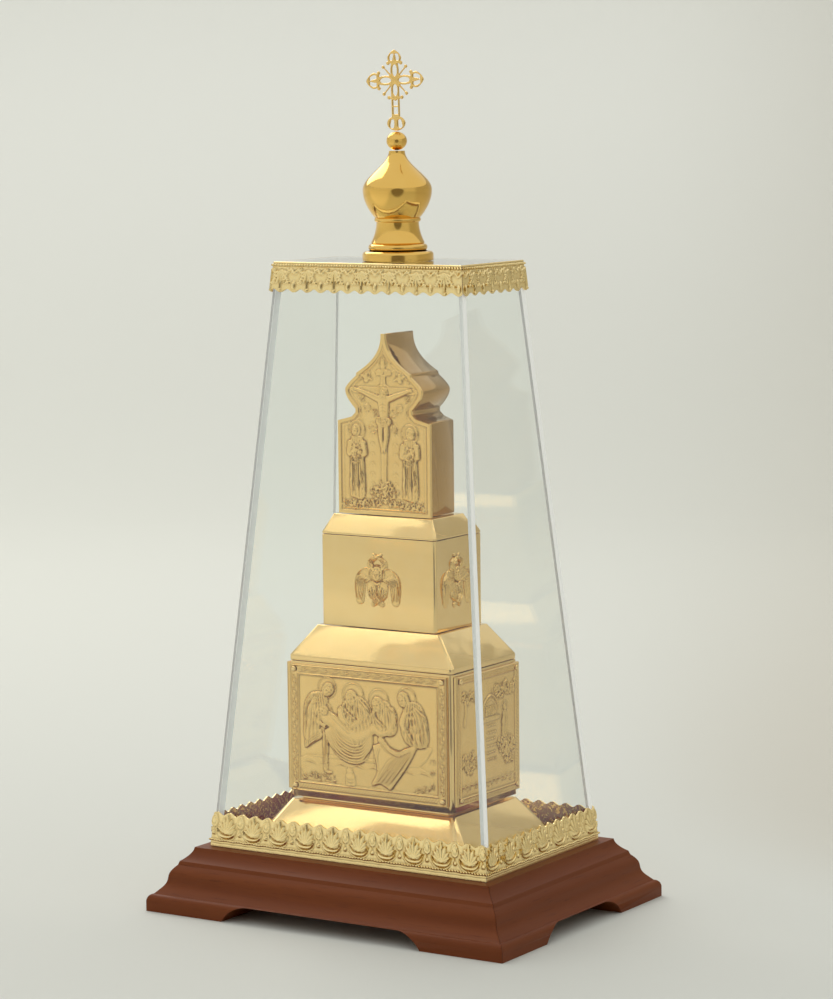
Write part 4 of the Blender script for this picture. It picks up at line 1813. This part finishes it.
def paper_sweep():
    """Pale neutral paper with a faint tooth. It is greyer on the floor, brighter towards
    the window at the front left, and dim behind the photographer and to the right."""
    tooth_pitch = 0.004
    material, tree, shader = new_finish("paper_sweep")
    place = add_node(tree, "ShaderNodeTexCoord")
    tooth = add_node(tree, "ShaderNodeTexNoise", {"Vector": place.outputs["Object"],
                                                  "Scale": 1 / tooth_pitch})
    relief = add_node(tree, "ShaderNodeBump", {"Height": tooth.outputs["Fac"],
                                               "Strength": 0.02, "Distance": 0.0005})
    tree.links.new(relief.outputs["Normal"], shader.inputs["Normal"])
    parts = add_node(tree, "ShaderNodeSeparateXYZ", {"Vector": place.outputs["Object"]})
    climb = add_node(tree, "ShaderNodeMapRange", {"Value": parts.outputs["Z"],
                                                  "From Max": 0.55},
                     interpolation_type="SMOOTHSTEP")
    hue = add_node(tree, "ShaderNodeMixRGB", {"Fac": climb.outputs["Result"],
                                              "Color1": linear("D4D5CF"),
                                              "Color2": linear("E9EAE6")})
    raised = add_node(tree, "ShaderNodeMapping", {"Vector": place.outputs["Object"],
                                                  "Location": (0.0, 0.0, -0.35)})
    way = add_node(tree, "ShaderNodeVectorMath", {0: raised.outputs["Vector"]},
                   operation="NORMALIZE")
    for azimuth, closeness, shade_tone in ((-33, 0.70, "EFEFEA"), (147, 0.50, "C9C6BC"),
                                              (33, 0.91, "8C867C")):
        turn = math.radians(azimuth)
        near = add_node(tree, "ShaderNodeVectorMath", {
            0: way.outputs["Vector"], 1: (math.sin(turn), -math.cos(turn), 0.0),
        }, operation="DOT_PRODUCT")
        shade = add_node(tree, "ShaderNodeMapRange", {"Value": near.outputs["Value"],
                                                      "From Min": closeness,
                                                      "From Max": (1 + closeness) / 2},
                         interpolation_type="SMOOTHSTEP")
        hue = add_node(tree, "ShaderNodeMixRGB", {"Fac": shade.outputs["Result"],
                                                  "Color1": hue.outputs["Color"],
                                                  "Color2": linear(shade_tone)})
    tree.links.new(hue.outputs["Color"], shader.inputs["Base Color"])
    shader.inputs["Roughness"].default_value = 0.85
    return material


def sweep():
    """A floor that curves up into a wall all round."""
    section = [(0.0, 0.0), (SWEEP_RADIUS - SWEEP_BEND, 0.0)]
    bend_steps = 24
    for step in range(1, bend_steps + 1):
        turn = QUARTER * step / bend_steps
        section.append((SWEEP_RADIUS - SWEEP_BEND + SWEEP_BEND * math.sin(turn),
                        SWEEP_BEND * (1 - math.cos(turn))))
    section.append((SWEEP_RADIUS, SWEEP_HEIGHT))
    bm = bmesh.new()
    rings = []
    for radius, height in section:
        count = SWEEP_STEPS if radius > 0 else 1
        rings.append([bm.verts.new((radius * math.cos(2 * math.pi * s / SWEEP_STEPS),
                                    radius * math.sin(2 * math.pi * s / SWEEP_STEPS), height))
                      for s in range(count)])
    for lower, upper in zip(rings, rings[1:]):
        for s in range(SWEEP_STEPS):
            corners = [lower[(s - 1) % len(lower)], lower[s % len(lower)],
                       upper[s % len(upper)], upper[(s - 1) % len(upper)]]
            bm.faces.new(list(dict.fromkeys(corners)))
    mesh = bpy.data.meshes.new("sweep")
    bm.to_mesh(mesh)
    bm.free()
    mesh.shade_smooth()
    mesh.materials.append(paper_sweep())
    floor = bpy.data.objects.new("paper_sweep", mesh)
    bpy.context.scene.collection.objects.link(floor)
    return floor


def soft_box(name, azimuth, elevation, distance, width, height, power, colour):
    """An area light that looks at the object's middle. Azimuth 0 is the front, 90 the right."""
    lamp = bpy.data.lights.new(name, "AREA")
    lamp.shape = "RECTANGLE"
    lamp.size = width
    lamp.size_y = height
    lamp.energy = power
    lamp.color = linear(colour)[:3]
    light = bpy.data.objects.new(name, lamp)
    bpy.context.scene.collection.objects.link(light)
    turn = math.radians(azimuth)
    rise = math.radians(elevation)
    away = Vector((math.sin(turn) * math.cos(rise), -math.cos(turn) * math.cos(rise),
                   math.sin(rise)))
    light.location = Vector((0, 0, 0.25)) + away * distance
    light.rotation_euler = (-away).to_track_quat("-Z", "Y").to_euler()
    light.visible_camera = False
    return light


sweep_floor = sweep()
key = soft_box("key_soft_box", -120, 44, 2.3, 1.8, 1.8, 24, "FFFCF6")

world = bpy.data.worlds.new("studio")
world.use_nodes = True
world.node_tree.nodes["Background"].inputs["Color"].default_value = linear("F5F6F3")
world.node_tree.nodes["Background"].inputs["Strength"].default_value = 0.86
bpy.context.scene.world = world
bpy.context.scene.view_settings.view_transform = "Standard"


# Camera. Where the photograph was taken from: about 2 m away, 33 degrees round to the right and
# looking down 7 degrees, with a long lens.

CAMERA_AZIMUTH = 0.571537
CAMERA_DISTANCE = 1.967449
CAMERA_HEIGHT = 0.474847
CAMERA_TILT = -0.123990
CAMERA_ROLL = -0.011448
CAMERA_FOCUS = 3406.094
CAMERA_MIDDLE = (400.996, 517.254)
IMAGE_SIZE = (833, 999)
FILM_SIDE = 36

forward = Vector((-math.sin(CAMERA_AZIMUTH) * math.cos(CAMERA_TILT),
                  math.cos(CAMERA_AZIMUTH) * math.cos(CAMERA_TILT), math.sin(CAMERA_TILT)))
level_right = Vector((math.cos(CAMERA_AZIMUTH), math.sin(CAMERA_AZIMUTH), 0))
level_up = level_right.cross(forward)
camera_right = math.cos(CAMERA_ROLL) * level_right + math.sin(CAMERA_ROLL) * level_up
camera_up = math.cos(CAMERA_ROLL) * level_up - math.sin(CAMERA_ROLL) * level_right
film = bpy.data.cameras.new("photograph")
film.sensor_width = FILM_SIDE
film.lens = CAMERA_FOCUS * FILM_SIDE / IMAGE_SIZE[1]
film.shift_x = (IMAGE_SIZE[0] / 2 - CAMERA_MIDDLE[0]) / IMAGE_SIZE[1]
film.shift_y = (CAMERA_MIDDLE[1] - IMAGE_SIZE[1] / 2) / IMAGE_SIZE[1]
film.clip_start = 0.01
camera = bpy.data.objects.new("photograph", film)
bpy.context.scene.collection.objects.link(camera)
camera.matrix_world = Matrix(((camera_right.x, camera_up.x, -forward.x,
                               math.sin(CAMERA_AZIMUTH) * CAMERA_DISTANCE),
                              (camera_right.y, camera_up.y, -forward.y,
                               -math.cos(CAMERA_AZIMUTH) * CAMERA_DISTANCE),
                              (camera_right.z, camera_up.z, -forward.z, CAMERA_HEIGHT),
                              (0, 0, 0, 1)))
bpy.context.scene.camera = camera
